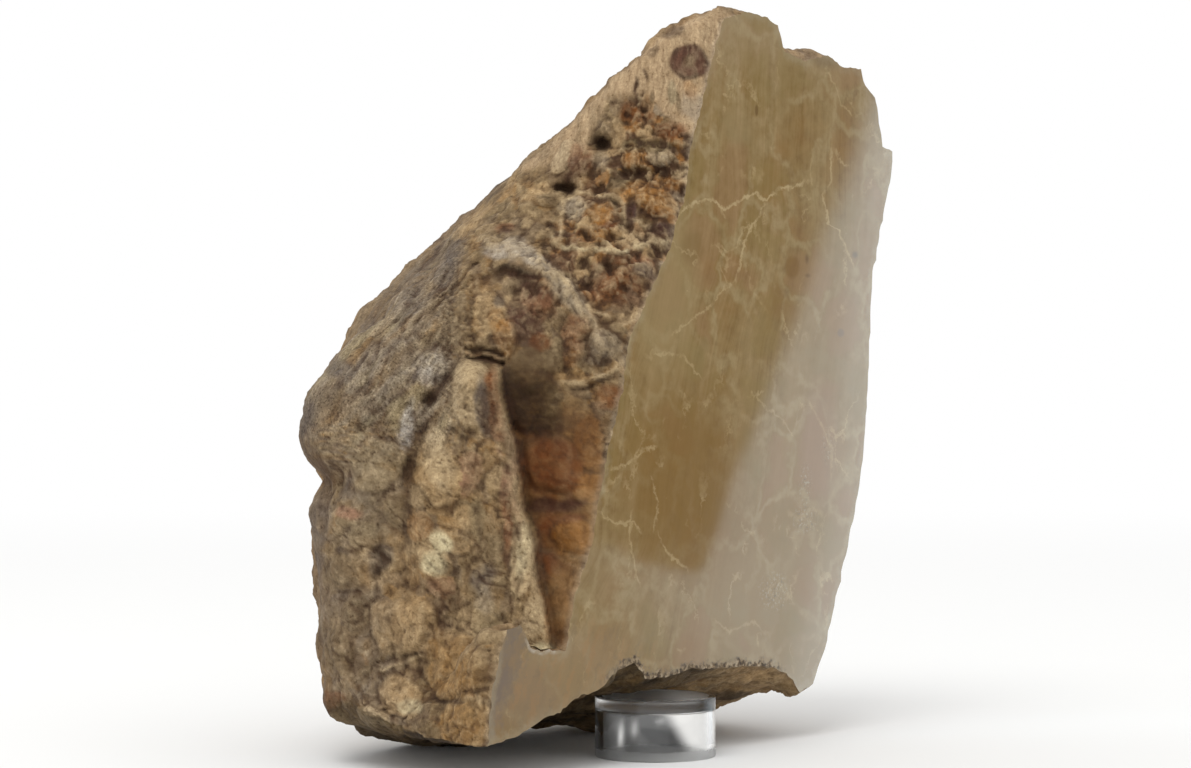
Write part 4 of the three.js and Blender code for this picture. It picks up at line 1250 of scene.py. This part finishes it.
# %% Rind: colour, grain and bump
tone = rind.attribute("stain", "Color")
tone = rind.blend(1.0, tone, rind.ramp(
    marble, (0.30, (0.62, 0.58, 0.53)), (0.44, (0.9, 0.89, 0.87)), (0.55, (1.04, 1.04, 1.03)),
    (0.70, (1.32, 1.34, 1.36))), "MULTIPLY")
tone = rind.blend(1.0, tone, rind.ramp(
    grain, (0.30, (0.55, 0.5, 0.45)), (0.41, (0.94, 0.93, 0.92)), (0.58, (1.03, 1.03, 1.03)),
    (0.7, (1.3, 1.32, 1.34))), "MULTIPLY")
gritty = rind.blend(1.0, tone, rind.ramp(
    grit, (0.34, (0.5, 0.46, 0.42)), (0.43, (0.95, 0.95, 0.94)), (0.57, (1.03, 1.03, 1.03)),
    (0.66, (1.42, 1.43, 1.44))), "MULTIPLY")
tone = rind.blend(strand_share * 0.7 + 0.3, tone, gritty)
bump = rind.out("ShaderNodeBump", 0, None, {"Height": marble * 0.8 + grain * 0.22 + grit * 0.1,
                                            "Strength": 0.6, "Distance": 0.8 * MM})
rind.surface("ShaderNodeBsdfPrincipled", {
    "Base Color": tone, "Roughness": rind.smooth(grain, 0.3, 0.7, 0.95, 0.78), "Normal": bump,
    "Specular IOR Level": 0.3})
print("nodes of the rind:", len(rind.tree.nodes))

# %% [markdown]
# ## Finish of the polished face
# The sawn face cuts through hundreds of growth layers. They show as fine upright bands, which lean as they
# go down and run out sideways at the foot. Over them lie soft blobs with a pale web between, veins of
# calcite, hairline cracks, and a crumbly lower rim. A wave texture would repeat its bands, so they are noise
# that is stretched along the layers. Veins that can be told apart are drawn as curves, and a clear coat gives
# the polish.

# %% Veins, along x or along z: points as (x, z), half width, strength
VEINS_ACROSS = [
    ([(4, 110.5), (9, 115), (13, 116.5), (19, 117.5), (23, 115.5), (28, 117.5), (34, 119.5), (38, 118.5),
      (43, 121), (50, 122), (56, 124)], 0.26, 0.75),
    ([(4, 88), (12, 92), (19, 95), (23, 99), (28, 100)], 0.22, 0.5),
    ([(-17, 61), (-10, 61.5), (-5, 64.5), (1, 65.5)], 0.28, 0.5),
    ([(-20, 53), (-13, 49.5), (-8, 50), (-4, 47)], 0.24, 0.5),
    ([(-2, 84.5), (9, 84.5), (13, 81), (16, 79)], 0.24, 0.45),
    ([(0, 48), (3, 43.5), (7, 41), (11, 39)], 0.24, 0.55),
    ([(33, 77), (37, 73.5), (43, 71), (49, 66)], 0.24, 0.4),
    ([(60, 148.5), (64, 145), (66, 141.5), (71, 138.5)], 0.24, 0.45),
    ([(45, 50.5), (50, 48.5), (55, 50.5), (60, 49)], 0.4, 0.25),
    ([(18, 29), (25, 25), (33, 27), (40, 23)], 0.22, 0.35),
]
VEINS_UPRIGHT = [
    ([(26, 99), (27.5, 101.5), (29, 105), (30, 108.5), (33, 112.5), (36, 115.5), (38, 118.5)], 0.26, 0.7),
    ([(72, 103.5), (68, 108.5), (65, 113), (61, 114), (60.5, 116.5), (59, 120.5), (62.5, 123.5),
      (62, 127), (62.5, 133)], 0.28, 0.65), ([(24.5, 99.5), (21, 104)], 0.24, 0.4),
    ([(23.3, 113.5), (21, 117)], 0.22, 0.4), ([(-5.5, 36), (-7, 40), (-9, 47), (-8, 53)], 0.24, 0.5),
    ([(62, 56), (62.5, 64), (58, 70), (52, 76)], 0.3, 0.35), ([(-1, 47), (0.5, 53), (-2, 60)], 0.2, 0.45),
    ([(54.8, 122), (54.5, 129)], 0.22, 0.35),
]
print(len(VEINS_ACROSS) + len(VEINS_UPRIGHT), "veins")

# %% Soft patches: middle x and z, half width, half height and softness; share; colour
FACE_PATCHES = [
    ((2, 100, 11, 22, 0.5), 0.55, (152, 132, 94)), ((10, 57, 20, 20, 0.5), 0.7, (126, 97, 54)),
    ((-30, 18, 20, 11, 0.4), 0.6, (148, 126, 97)), ((-44, 12, 12, 12, 0.5), 0.4, (128, 110, 88)),
    ((58, 65, 7, 13, 0.4), 0.4, (150, 122, 100)), ((47.5, 104, 2.6, 2.4, 0.3), 0.6, (120, 90, 50)),
    ((42.5, 96.5, 2.2, 4, 0.4), 0.45, (128, 98, 56)), ((71.5, 107.5, 1.0, 0.7, 0.7), 0.6, (96, 84, 66)),
    ((66, 89.8, 1.3, 0.9, 0.4), 0.5, (112, 98, 84)), ((53, 106, 0.6, 0.9, 0.8), 0.55, (92, 68, 40)),
    ((53.3, 102.3, 0.9, 0.4, 0.8), 0.45, (92, 68, 40)), ((28, 134, 5, 4, 0.5), 0.3, (152, 132, 96)),
    ((34.5, 137.5, 0.6, 1.2, 0.3), 0.6, (96, 72, 44)), ((60, 151, 6, 2.2, 0.5), 0.4, (112, 96, 78)),
    ((12, 107, 3.4, 3.4, 0.4), 0.35, (112, 90, 52)),
]
POROUS_SPOTS = [(52.5, 48.5, 4, 3.2), (41, 33, 5, 4), (52.5, 56, 2.2, 4), (61, 64, 2, 3)]
print(len(FACE_PATCHES), "patches,", len(POROUS_SPOTS), "porous spots")

# %% Bends that all the marks share
polish = Finish("polished_section")
own = polish.millimetres()
x, _, z = polish.split(own)
bend = polish.noise(own, 0.45, 3, 0.6) * 3.2 + polish.noise(own, 1.6, 2, 0.5) * 0.9 - 2.05
patches = polish.noise(own, 0.055, 4, 0.6)
haze = polish.noise(own, 0.35, 4, 0.6)
print("nodes for the bends:", len(polish.tree.nodes))


# %% Veins and spots
def joined(operation, wires):
    """One wire from several: the operation on the first two, then on that and the next, and so on."""
    total = wires[0]
    for wire in wires[1:]:
        total = total.math(operation, wire)
    return total


def veins(paths, way, side):
    """The strongest of the veins: each is a curve of side against way, thin, and faded at its ends."""
    shares = []
    for path, half_width, strength in paths:
        path = sorted(path if way is x else [(b, a) for a, b in path])
        ways, sides = zip(*path)
        first, span = ways[0], ways[-1] - ways[0]
        lowest, reach = min(sides), max(sides) - min(sides)
        points = [((a - first) / span, (b - lowest) / reach) for a, b in path]
        curve = polish.out("ShaderNodeFloatCurve", 0, {"points": points}, {"Value": (way - first) / span})
        apart = abs(side + bend - (curve * reach + lowest))
        line = polish.smooth(apart, half_width * 2.4, half_width * 0.4)
        ends = polish.smooth(abs(way - (ways[0] + ways[-1]) / 2), span / 2, span * 0.38)
        shares.append(line * ends * strength)
    return joined("MAXIMUM", shares)


def spot(middle_x, middle_z, half_width, half_height, soft=0.5):
    """One inside an oval and zero outside it, with an edge that wavers."""
    off = polish.vector("MULTIPLY", polish.vector("SUBTRACT", own, (middle_x, 0, middle_z)),
                        (1 / half_width, 0, 1 / half_height))
    return polish.smooth(polish.length(off) + bend * 0.12, 1 + soft, 1 - soft)


vein = joined("MAXIMUM", [veins(VEINS_ACROSS, x, z), veins(VEINS_UPRIGHT, z, x)])
print("nodes with the veins:", len(polish.tree.nodes))

# %% Growth layers
drift = polish.noise(own, 0.03, 2, 0.5) - 0.5
ripple = polish.noise(own, 0.14, 2, 0.5) - 0.5
lean = (z - 110) * polish.smooth(z, 130, 90, 0.06, 0.31)
foot = polish.smooth(x - z * 0.6, 0, -50) * polish.smooth(z, 56, 34)
layers = polish.join(x - lean + drift * 9 + ripple * 1.6 - foot * (z - 40) * 0.6, z * 0.02, 0.0)
bands = polish.noise(layers, 1.1, 5, 0.7) * 0.27 + polish.noise(layers, 0.2, 3, 0.6) * 0.43 + haze * 0.3
contrast = 1.15 - polish.smooth(x - z * 0.6, -16, 8) * 0.7 - polish.smooth(z, 48, 38) * 0.35
tone = polish.ramp(
    (bands - 0.5) * contrast + 0.5, (0.34, linear(114, 88, 53)), (0.46, linear(136, 112, 73)),
    (0.56, linear(146, 122, 84)), (0.68, linear(160, 137, 100)))
tone = polish.washed(
    tone,
    (polish.smooth(patches, 0.5, 0.68, 0.0, 0.4), (136, 100, 56)),
    (polish.smooth(patches, 0.47, 0.3, 0.0, 0.35), (142, 128, 94)),
    (polish.smooth(z + haze * 16, 146, 164, 0.0, 0.6), (156, 136, 106)))
print("nodes with the layers:", len(polish.tree.nodes))

# %% Blobs with a pale web between them
BLOB_WIDTH = 13
BLOB_HEIGHT = 15
blob_space = polish.vector("MULTIPLY", polish.warped(own, 14, 0.11, 3, 0.6),
                           (1 / BLOB_WIDTH, 0.0, 1 / BLOB_HEIGHT))
blob_colour = polish.out("ShaderNodeTexVoronoi", "Color", {"feature": "F1"},
                         {"Vector": blob_space, "Scale": 1.0})
blob_kind = polish.out("ShaderNodeSeparateColor", 0, None, {"Color": blob_colour})
blob_edge = polish.out("ShaderNodeTexVoronoi", "Distance", {"feature": "DISTANCE_TO_EDGE"},
                       {"Vector": blob_space, "Scale": 1.0})
blob_inside = polish.smooth(blob_edge, 0.04, 0.22)
web = polish.smooth(blob_edge, 0.11, 0.01) * polish.smooth(patches, 0.36, 0.56)
tone = polish.washed(
    tone,
    (blob_inside * polish.smooth(blob_kind, 0.55, 0.62) * 0.3, (146, 112, 82)),
    (blob_inside * polish.smooth(blob_kind, 0.4, 0.33) * 0.3, (130, 112, 66)),
    (web * polish.smooth(haze, 0.3, 0.6, 0.1, 0.36), (172, 158, 122)))
print("nodes with the blobs:", len(polish.tree.nodes))

# %% Soft patches and pores
pores = polish.noise(own, 1.3, 3, 0.6)
porous = joined("ADD", [spot(*place) for place in POROUS_SPOTS]).math("MINIMUM", 1.0)
tone = polish.washed(tone, *((spot(*place) * share, rgb) for place, share, rgb in FACE_PATCHES))
tone = polish.washed(
    tone,
    (porous * polish.smooth(pores, 0.56, 0.66, 0.0, 0.7), (104, 96, 80)),
    (porous * polish.smooth(pores, 0.46, 0.36, 0.0, 0.55), (176, 170, 150)))
print("nodes with the patches:", len(polish.tree.nodes))

# %% Hairline cracks, laid with the veins
crack_space = polish.vector("MULTIPLY", polish.warped(own, 16, 0.16, 5, 0.65), (0.055, 0.0, 0.04))
cracks = polish.out("ShaderNodeTexVoronoi", "Distance", {"feature": "DISTANCE_TO_EDGE"},
                    {"Vector": crack_space, "Scale": 1.0, "Randomness": 1.0})
cracked = polish.smooth(polish.noise(own, 0.08, 3, 0.6), 0.46, 0.62)
vein = vein.math("MAXIMUM", polish.smooth(cracks, 0.026, 0.004) * cracked * 0.5)
tone = polish.washed(tone, (vein * polish.smooth(haze, 0.33, 0.58, 0.2, 0.9), (190, 169, 128)))
print("nodes with the cracks:", len(polish.tree.nodes))

# %% Streaks at the foot, and the gray strip at its left end
foot_streaks = polish.noise(polish.join(x - z * 0.4 + bend * 1.6, z * 0.22, 0.0), 0.42, 5, 0.68)
foot_area = polish.smooth(z + x * 0.2 + bend, 30, 22) * polish.smooth(x, 8, -6)
strip = (polish.smooth(x - z * 0.6 + bend * 2.6 + haze * 8, -50, -55.5) * polish.smooth(z, 46, 38)
         * polish.smooth(foot_streaks, 0.38, 0.6, 0.92, 0.5))
tone = polish.washed(
    tone,
    (foot_area * polish.smooth(foot_streaks, 0.5, 0.62, 0.0, 0.28), (160, 122, 82)),
    (foot_area * polish.smooth(foot_streaks, 0.46, 0.35, 0.0, 0.34), (118, 104, 84)),
    (strip, (120, 106, 93)))
print("nodes with the foot:", len(polish.tree.nodes))

# %% Worn rim, frosted corner and crumbs
rim_way = polish.attribute("rim_way", "Fac")
worn = polish.smooth(rim_way + bend * 1.2, 2.2, 0.1, 0.0, 0.4) * polish.smooth(patches, 0.38, 0.6)
frost = polish.smooth(rim_way + bend * 0.2, 1.0, 0.4) * spot(-36, 26, 7, 2.4, 0.3)
crumbs = polish.noise(own, 0.9, 4, 0.65)
crumbled = polish.smooth(rim_way + haze * 5 + crumbs * 4, 6.4, 4.6) * spot(17, 22, 34, 9, 0.25)
tone = polish.washed(
    tone,
    (worn, (162, 150, 124)),
    (frost * polish.smooth(haze, 0.4, 0.6, 0.2, 0.9), (178, 166, 148)))
tone = polish.blend(crumbled, tone, polish.ramp(
    crumbs, (0.38, linear(60, 46, 32)), (0.48, linear(96, 78, 54)), (0.56, linear(142, 122, 94)),
    (0.66, linear(186, 172, 148))))
print("nodes with the rim:", len(polish.tree.nodes))

# %% Polish, and the stone put together
polish.surface("ShaderNodeBsdfPrincipled", {
    "Base Color": tone, "Roughness": polish.smooth(haze, 0.3, 0.7, 0.13, 0.08) + crumbled * 0.5,
    "Coat Weight": 1 - crumbled, "Coat Roughness": 0.03, "Coat IOR": 1.7, "IOR": 1.5})
stone.data.materials.append(rind.material)
stone.data.materials.append(polish.material)
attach(stone, "root")
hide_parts("stromatolite_rock")
print("the stone has", len(stone.data.materials), "finishes")

# %% [markdown]
# ## The riser
# The riser is turned from clear acrylic rod and hollowed from below. A turned piece is a profile carried
# round an axis, so its walls, its rounded edges and its closed top come out true. The profile runs from the
# middle of the ceiling down the inside, round the foot, up the outside and back to the middle of the top.


# %% Its profile
def rounded(points, radii, steps=5):
    """A profile whose corners are rounded: each corner becomes a quadratic curve between its two sides."""
    points = np.array(points, float)
    out = [points[:1]]
    for before, corner, after, radius in zip(points[:-2], points[1:-1], points[2:], radii):
        first = corner + (before - corner) / np.linalg.norm(before - corner) * radius
        last = corner + (after - corner) / np.linalg.norm(after - corner) * radius
        t = np.linspace(0, 1, steps)[:, None]
        out.append((1 - t) ** 2 * first + 2 * t * (1 - t) * corner + t ** 2 * last)
    return np.concatenate(out + [points[-1:]])


RISER_WALL = 1.7
RISER_TOP = 2.7
inner = RISER_RADIUS - RISER_WALL
ceiling = RISER_HEIGHT - RISER_TOP
CORNER_RADII = [0.5, 0.15, 0.3, 0.4]
profile = rounded([(0, ceiling), (inner, ceiling), (inner, 0), (RISER_RADIUS, 0),
                   (RISER_RADIUS, RISER_HEIGHT), (0, RISER_HEIGHT)], CORNER_RADII)
print("riser: bore", 2 * inner, "mm wide and", ceiling, "mm high,", len(profile), "points in its profile")

# %% Turned round its axis
RISER_SEGMENTS = 144
SHARP_ANGLE = math.radians(40)
angle = np.arange(RISER_SEGMENTS) / RISER_SEGMENTS * 2 * math.pi
out, up = profile[1:-1].T[..., None]
turned = np.stack([out * np.cos(angle), out * np.sin(angle), up + 0 * angle], axis=-1).reshape(-1, 3)
poles = np.array([[0, 0, ceiling], [0, 0, RISER_HEIGHT]])
turned_grid = np.arange(len(turned)).reshape(-1, RISER_SEGMENTS)
first_ring, last_ring, one = turned_grid[0], turned_grid[-1], np.ones(RISER_SEGMENTS, int)
riser_fans = np.concatenate([
    np.stack([np.roll(first_ring, -1), first_ring, len(turned) * one], axis=-1),
    np.stack([last_ring, np.roll(last_ring, -1), (len(turned) + 1) * one], axis=-1)])
riser = mesh_piece("clear_riser", np.concatenate([turned, poles]) + np.append(RISER_CENTRE, 0),
                   quads_of(turned_grid).tolist() + riser_fans.tolist())
riser.data.polygons.foreach_set("use_smooth", [True] * len(riser.data.polygons))
riser.data.set_sharp_from_angle(angle=SHARP_ANGLE)
print("faces of the riser:", len(riser.data.polygons))

# %% [markdown]
# ## Clear acrylic
# Acrylic is clear, bends light a little less than glass, and picks up fine scuffs. A mix of see-through and
# glossy shaders could fake it, but plain transmission with the real index of 1.49 bends what lies behind.
# The roughness carries the rest: light scuffing all over, a duller foot where it slides about, and a bore
# and a thick top that are less clear than the outer wall.

# %% Acrylic
acrylic = Finish("clear_acrylic_rod")
own = acrylic.millimetres()
scuff = acrylic.noise(own, 0.9, 4, 0.6)
*_, z = acrylic.split(own)
from_axis = acrylic.length(acrylic.vector(
    "MULTIPLY", acrylic.vector("SUBTRACT", own, (*RISER_CENTRE, 0)), (1, 1, 0)))
dull = (acrylic.smooth(z + scuff * 1.2, 3.0, 2.2, 0.0, 0.3)
        + acrylic.smooth(z, ceiling - 0.1, ceiling + 0.1, 0.0, 0.16)
        + acrylic.smooth(from_axis, inner + 0.5, inner + 0.3, 0.0, 0.1))
acrylic.surface("ShaderNodeBsdfPrincipled", {
    "Base Color": (0.99, 0.995, 0.995, 1), "Transmission Weight": 1.0, "IOR": 1.49,
    "Roughness": acrylic.smooth(scuff, 0.5, 0.75, 0.015, 0.09) + dull})
riser.data.materials.append(acrylic.material)
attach(riser, "root")
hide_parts("acrylic_riser")
print("nodes in the acrylic:", len(acrylic.tree.nodes))

# %% [markdown]
# ## Camera, floor and light
# The camera stands level, about 0.65 metres away, and looks square at the flank. A curved backdrop
# would hide where the floor ends. Here the floor is a plain pale sheet that fades into pure light away from
# the stone, which does the same. A white world fills the shadows, and one large softbox at the upper left
# gives the shape.

# %% Camera
CAMERA_AT = np.array([-485.69, -390.96, 78.3])
CAMERA_LENS = 90.68
VIEW = np.array([math.sin(FLANK_TURN), math.cos(FLANK_TURN), 0])
scene = bpy.context.scene
camera = bpy.data.objects.new("camera", bpy.data.cameras.new("camera"))
camera.data.lens = CAMERA_LENS
camera.data.sensor_width = 36
camera.location = (CAMERA_AT + SHIFT) * MM
camera.rotation_euler = Vector(VIEW).to_track_quat("-Z", "Y").to_euler()
scene.collection.objects.link(camera)
scene.camera = camera
scene.view_settings.view_transform = "Standard"
print("camera at", [round(v, 3) for v in camera.location], "metres")

# %% Floor
FLOOR_HALF = 12000
FADE_FROM, FADE_TO = 0.2, 1.3
floor_finish = Finish("pale_floor")
floor_place = floor_finish.out("ShaderNodeTexCoord", "Object")
floor_tone = floor_finish.blend(floor_finish.noise(floor_place, 40, 3) * 0.06,
                                (0.84, 0.84, 0.83), (0.76, 0.76, 0.75))
sheet = floor_finish.out("ShaderNodeBsdfPrincipled", 0, None,
                         {"Base Color": floor_tone, "Roughness": 0.9, "Specular IOR Level": 0.1})
bright = floor_finish.out("ShaderNodeEmission", 0, None, {"Color": (1, 1, 1, 1), "Strength": 1.0})
floor_finish.surface("ShaderNodeMixShader", {
    0: floor_finish.smooth(floor_finish.length(floor_place), FADE_FROM, FADE_TO), 1: sheet, 2: bright})
floor_corners = np.array([(-1, -1, 0), (1, -1, 0), (1, 1, 0), (-1, 1, 0)]) * FLOOR_HALF
floor = mesh_piece("studio_floor", floor_corners - SHIFT, [[0, 1, 2, 3]])
floor.data.materials.append(floor_finish.material)
print("floor:", [round(v) for v in floor.dimensions], "metres")

# %% Softbox and world
SOFTBOX_AT = Vector((-0.95, -0.3, 1.6))
SOFTBOX_TARGET = Vector((0, 0, 0.08))
SOFTBOX_SIDE = 1.0
SOFTBOX_RADIANCE = 3.6
key = bpy.data.lights.new("key_light", "AREA")
key.shape = "RECTANGLE"
key.size = key.size_y = SOFTBOX_SIDE
key.energy = SOFTBOX_RADIANCE * math.pi * SOFTBOX_SIDE ** 2
softbox = bpy.data.objects.new("key_light", key)
softbox.location = SOFTBOX_AT
softbox.rotation_euler = (SOFTBOX_TARGET - SOFTBOX_AT).to_track_quat("-Z", "Y").to_euler()
softbox.visible_camera = False
scene.collection.objects.link(softbox)
world = bpy.data.worlds.new("studio_air")
world.use_nodes = True
world.node_tree.nodes["Background"].inputs["Color"].default_value = (1.0, 1.0, 1.0, 1)
world.node_tree.nodes["Background"].inputs["Strength"].default_value = 1.0
scene.world = world
print("softbox energy:", round(key.energy, 2))

# %% [markdown]
# ## The board that the face mirrors
# A polished face shows its surroundings as much as itself. Where it mirrors something dark the stone's own
# brown shows, and where it mirrors something bright a pale glare lies over it, here at the right and along
# the foot. A studio sets up white and black boards for this. Here one graded board does it: each of its
# points stands where the camera's view of one point of the face lands after the mirror, so its glow is
# worked out on the face and carried out there. It stands 640 mm out, or less where the floor is in the way.

# %% How bright each point of the face mirrors
BOARD_STEP = 1.2
GLARE_FOOT = [(-40, 48), (-12, 45), (-8, 42.5), (5, 39.5), (15, 38.5)]
GLARE_RIM = [(10, 56), (25, 62), (35, 66.5), (47.5, 71), (65, 75.5), (85, 77.5), (105, 79), (117, 83),
             (130, 87), (150, 88)]
face_x, face_z = np.meshgrid(np.arange(-62, 106, BOARD_STEP), np.arange(4, 172, BOARD_STEP))
face_spot = np.stack([face_x, 0 * face_x, face_z], axis=-1)
glare_side = (face_x - 15) * -0.85 + (face_z - 38.5) * 0.527 + 1.5 * swell(face_spot, 14, 501)
shaded = (smooth(-1.2, 1.2, face_z - np.interp(face_x, *zip(*GLARE_FOOT)))
          * smooth(-1 - 0.03 * face_z, 1 + 0.03 * face_z, glare_side))
glow = (0.1 + 0.75 * smooth(-28, 38, face_x + 0.5 * (face_z - 25))
        + 0.6 * (1 - smooth(3, 17, np.interp(face_z, *zip(*GLARE_RIM)) - face_x)))
glow = glow * (1 - shaded) + 0.03 * shaded
print("board glows from", glow.min().round(2), "to", glow.max().round(2))


# %% The board
def glowing(name, points, glow, rgb):
    """A sheet on a grid of points: it shines in one colour, times the glow of each point."""
    grid = np.arange(glow.size).reshape(glow.shape)
    piece = mesh_piece(name, points.reshape(-1, 3), quads_of(grid, closed=False).tolist())
    keep(piece, "glow", glow.reshape(-1, 1) * rgb)
    finish = Finish(name)
    finish.surface("ShaderNodeEmission", {"Color": finish.attribute("glow", "Color"), "Strength": 1.0})
    piece.data.materials.append(finish.material)
    return piece


BOARD_DISTANCE = 640
BOARD_CLEARANCE = 3
BOARD_COLOUR = (0.88, 1.0, 1.08)
view_way = face_spot - CAMERA_AT
mirrored = view_way * [1, -1, 1] / np.hypot(view_way[..., :1], view_way[..., 1:2])
to_floor = (face_z - BOARD_CLEARANCE) / np.maximum(-mirrored[..., 2], 1e-6)
distance = np.minimum(BOARD_DISTANCE, to_floor)
board = glowing("graded_board", face_spot + mirrored * distance[..., None], glow, BOARD_COLOUR)
board.visible_camera = board.visible_diffuse = board.visible_shadow = board.visible_transmission = False
print("the board stands", distance.min().round(), "to", distance.max().round(), "mm out")

# %% [markdown]
# ## The card behind the riser
# Clear acrylic has no look of its own: it shows what stands behind it, bent. Behind this riser stands a
# small dark card with a bright wedge at its right and three glints, which the walls bend into streaks. It
# leans back as it rises, and only rays that pass through the riser see it.

# %% The card
CARD_BEHIND = 13
CARD_LEAN = 0.4
CARD_COLOUR = (1, 0.98, 0.95)
card_x, card_z = np.meshgrid(np.linspace(-22, 22, 89), np.linspace(0.4, 9.6, 12))
card_right = np.array([math.cos(FLANK_TURN), -math.sin(FLANK_TURN), 0])
card_points = (np.append(RISER_CENTRE, 0) + (CARD_BEHIND + CARD_LEAN * card_z[..., None]) * VIEW
               + card_x[..., None] * card_right + card_z[..., None] * np.array([0, 0, 1]))
card_glow = (0.035 + 0.75 * bell(np.hypot(card_x + 8.5, 0.4 * (card_z - 4)), 1.1)
             + 0.4 * bell(np.hypot(card_x + 4.8, 0.6 * (card_z - 5)), 1.2)
             + 0.5 * bell(np.hypot(0.3 * (card_x - 1.5), card_z - 6), 0.5)
             + 0.9 * smooth(3, 8, card_x + 0.9 * (card_z - 5)) * smooth(0.5, 3, card_z))
card = glowing("riser_card", card_points, card_glow, CARD_COLOUR)
card.visible_camera = card.visible_diffuse = card.visible_shadow = card.visible_glossy = False
print("card glows from", card_glow.min().round(2), "to", card_glow.max().round(2))

# %% [markdown]
# ## The size
# Every point of the stone was clipped to the packed box when it was settled, so the stone is no larger than
# the packed one.
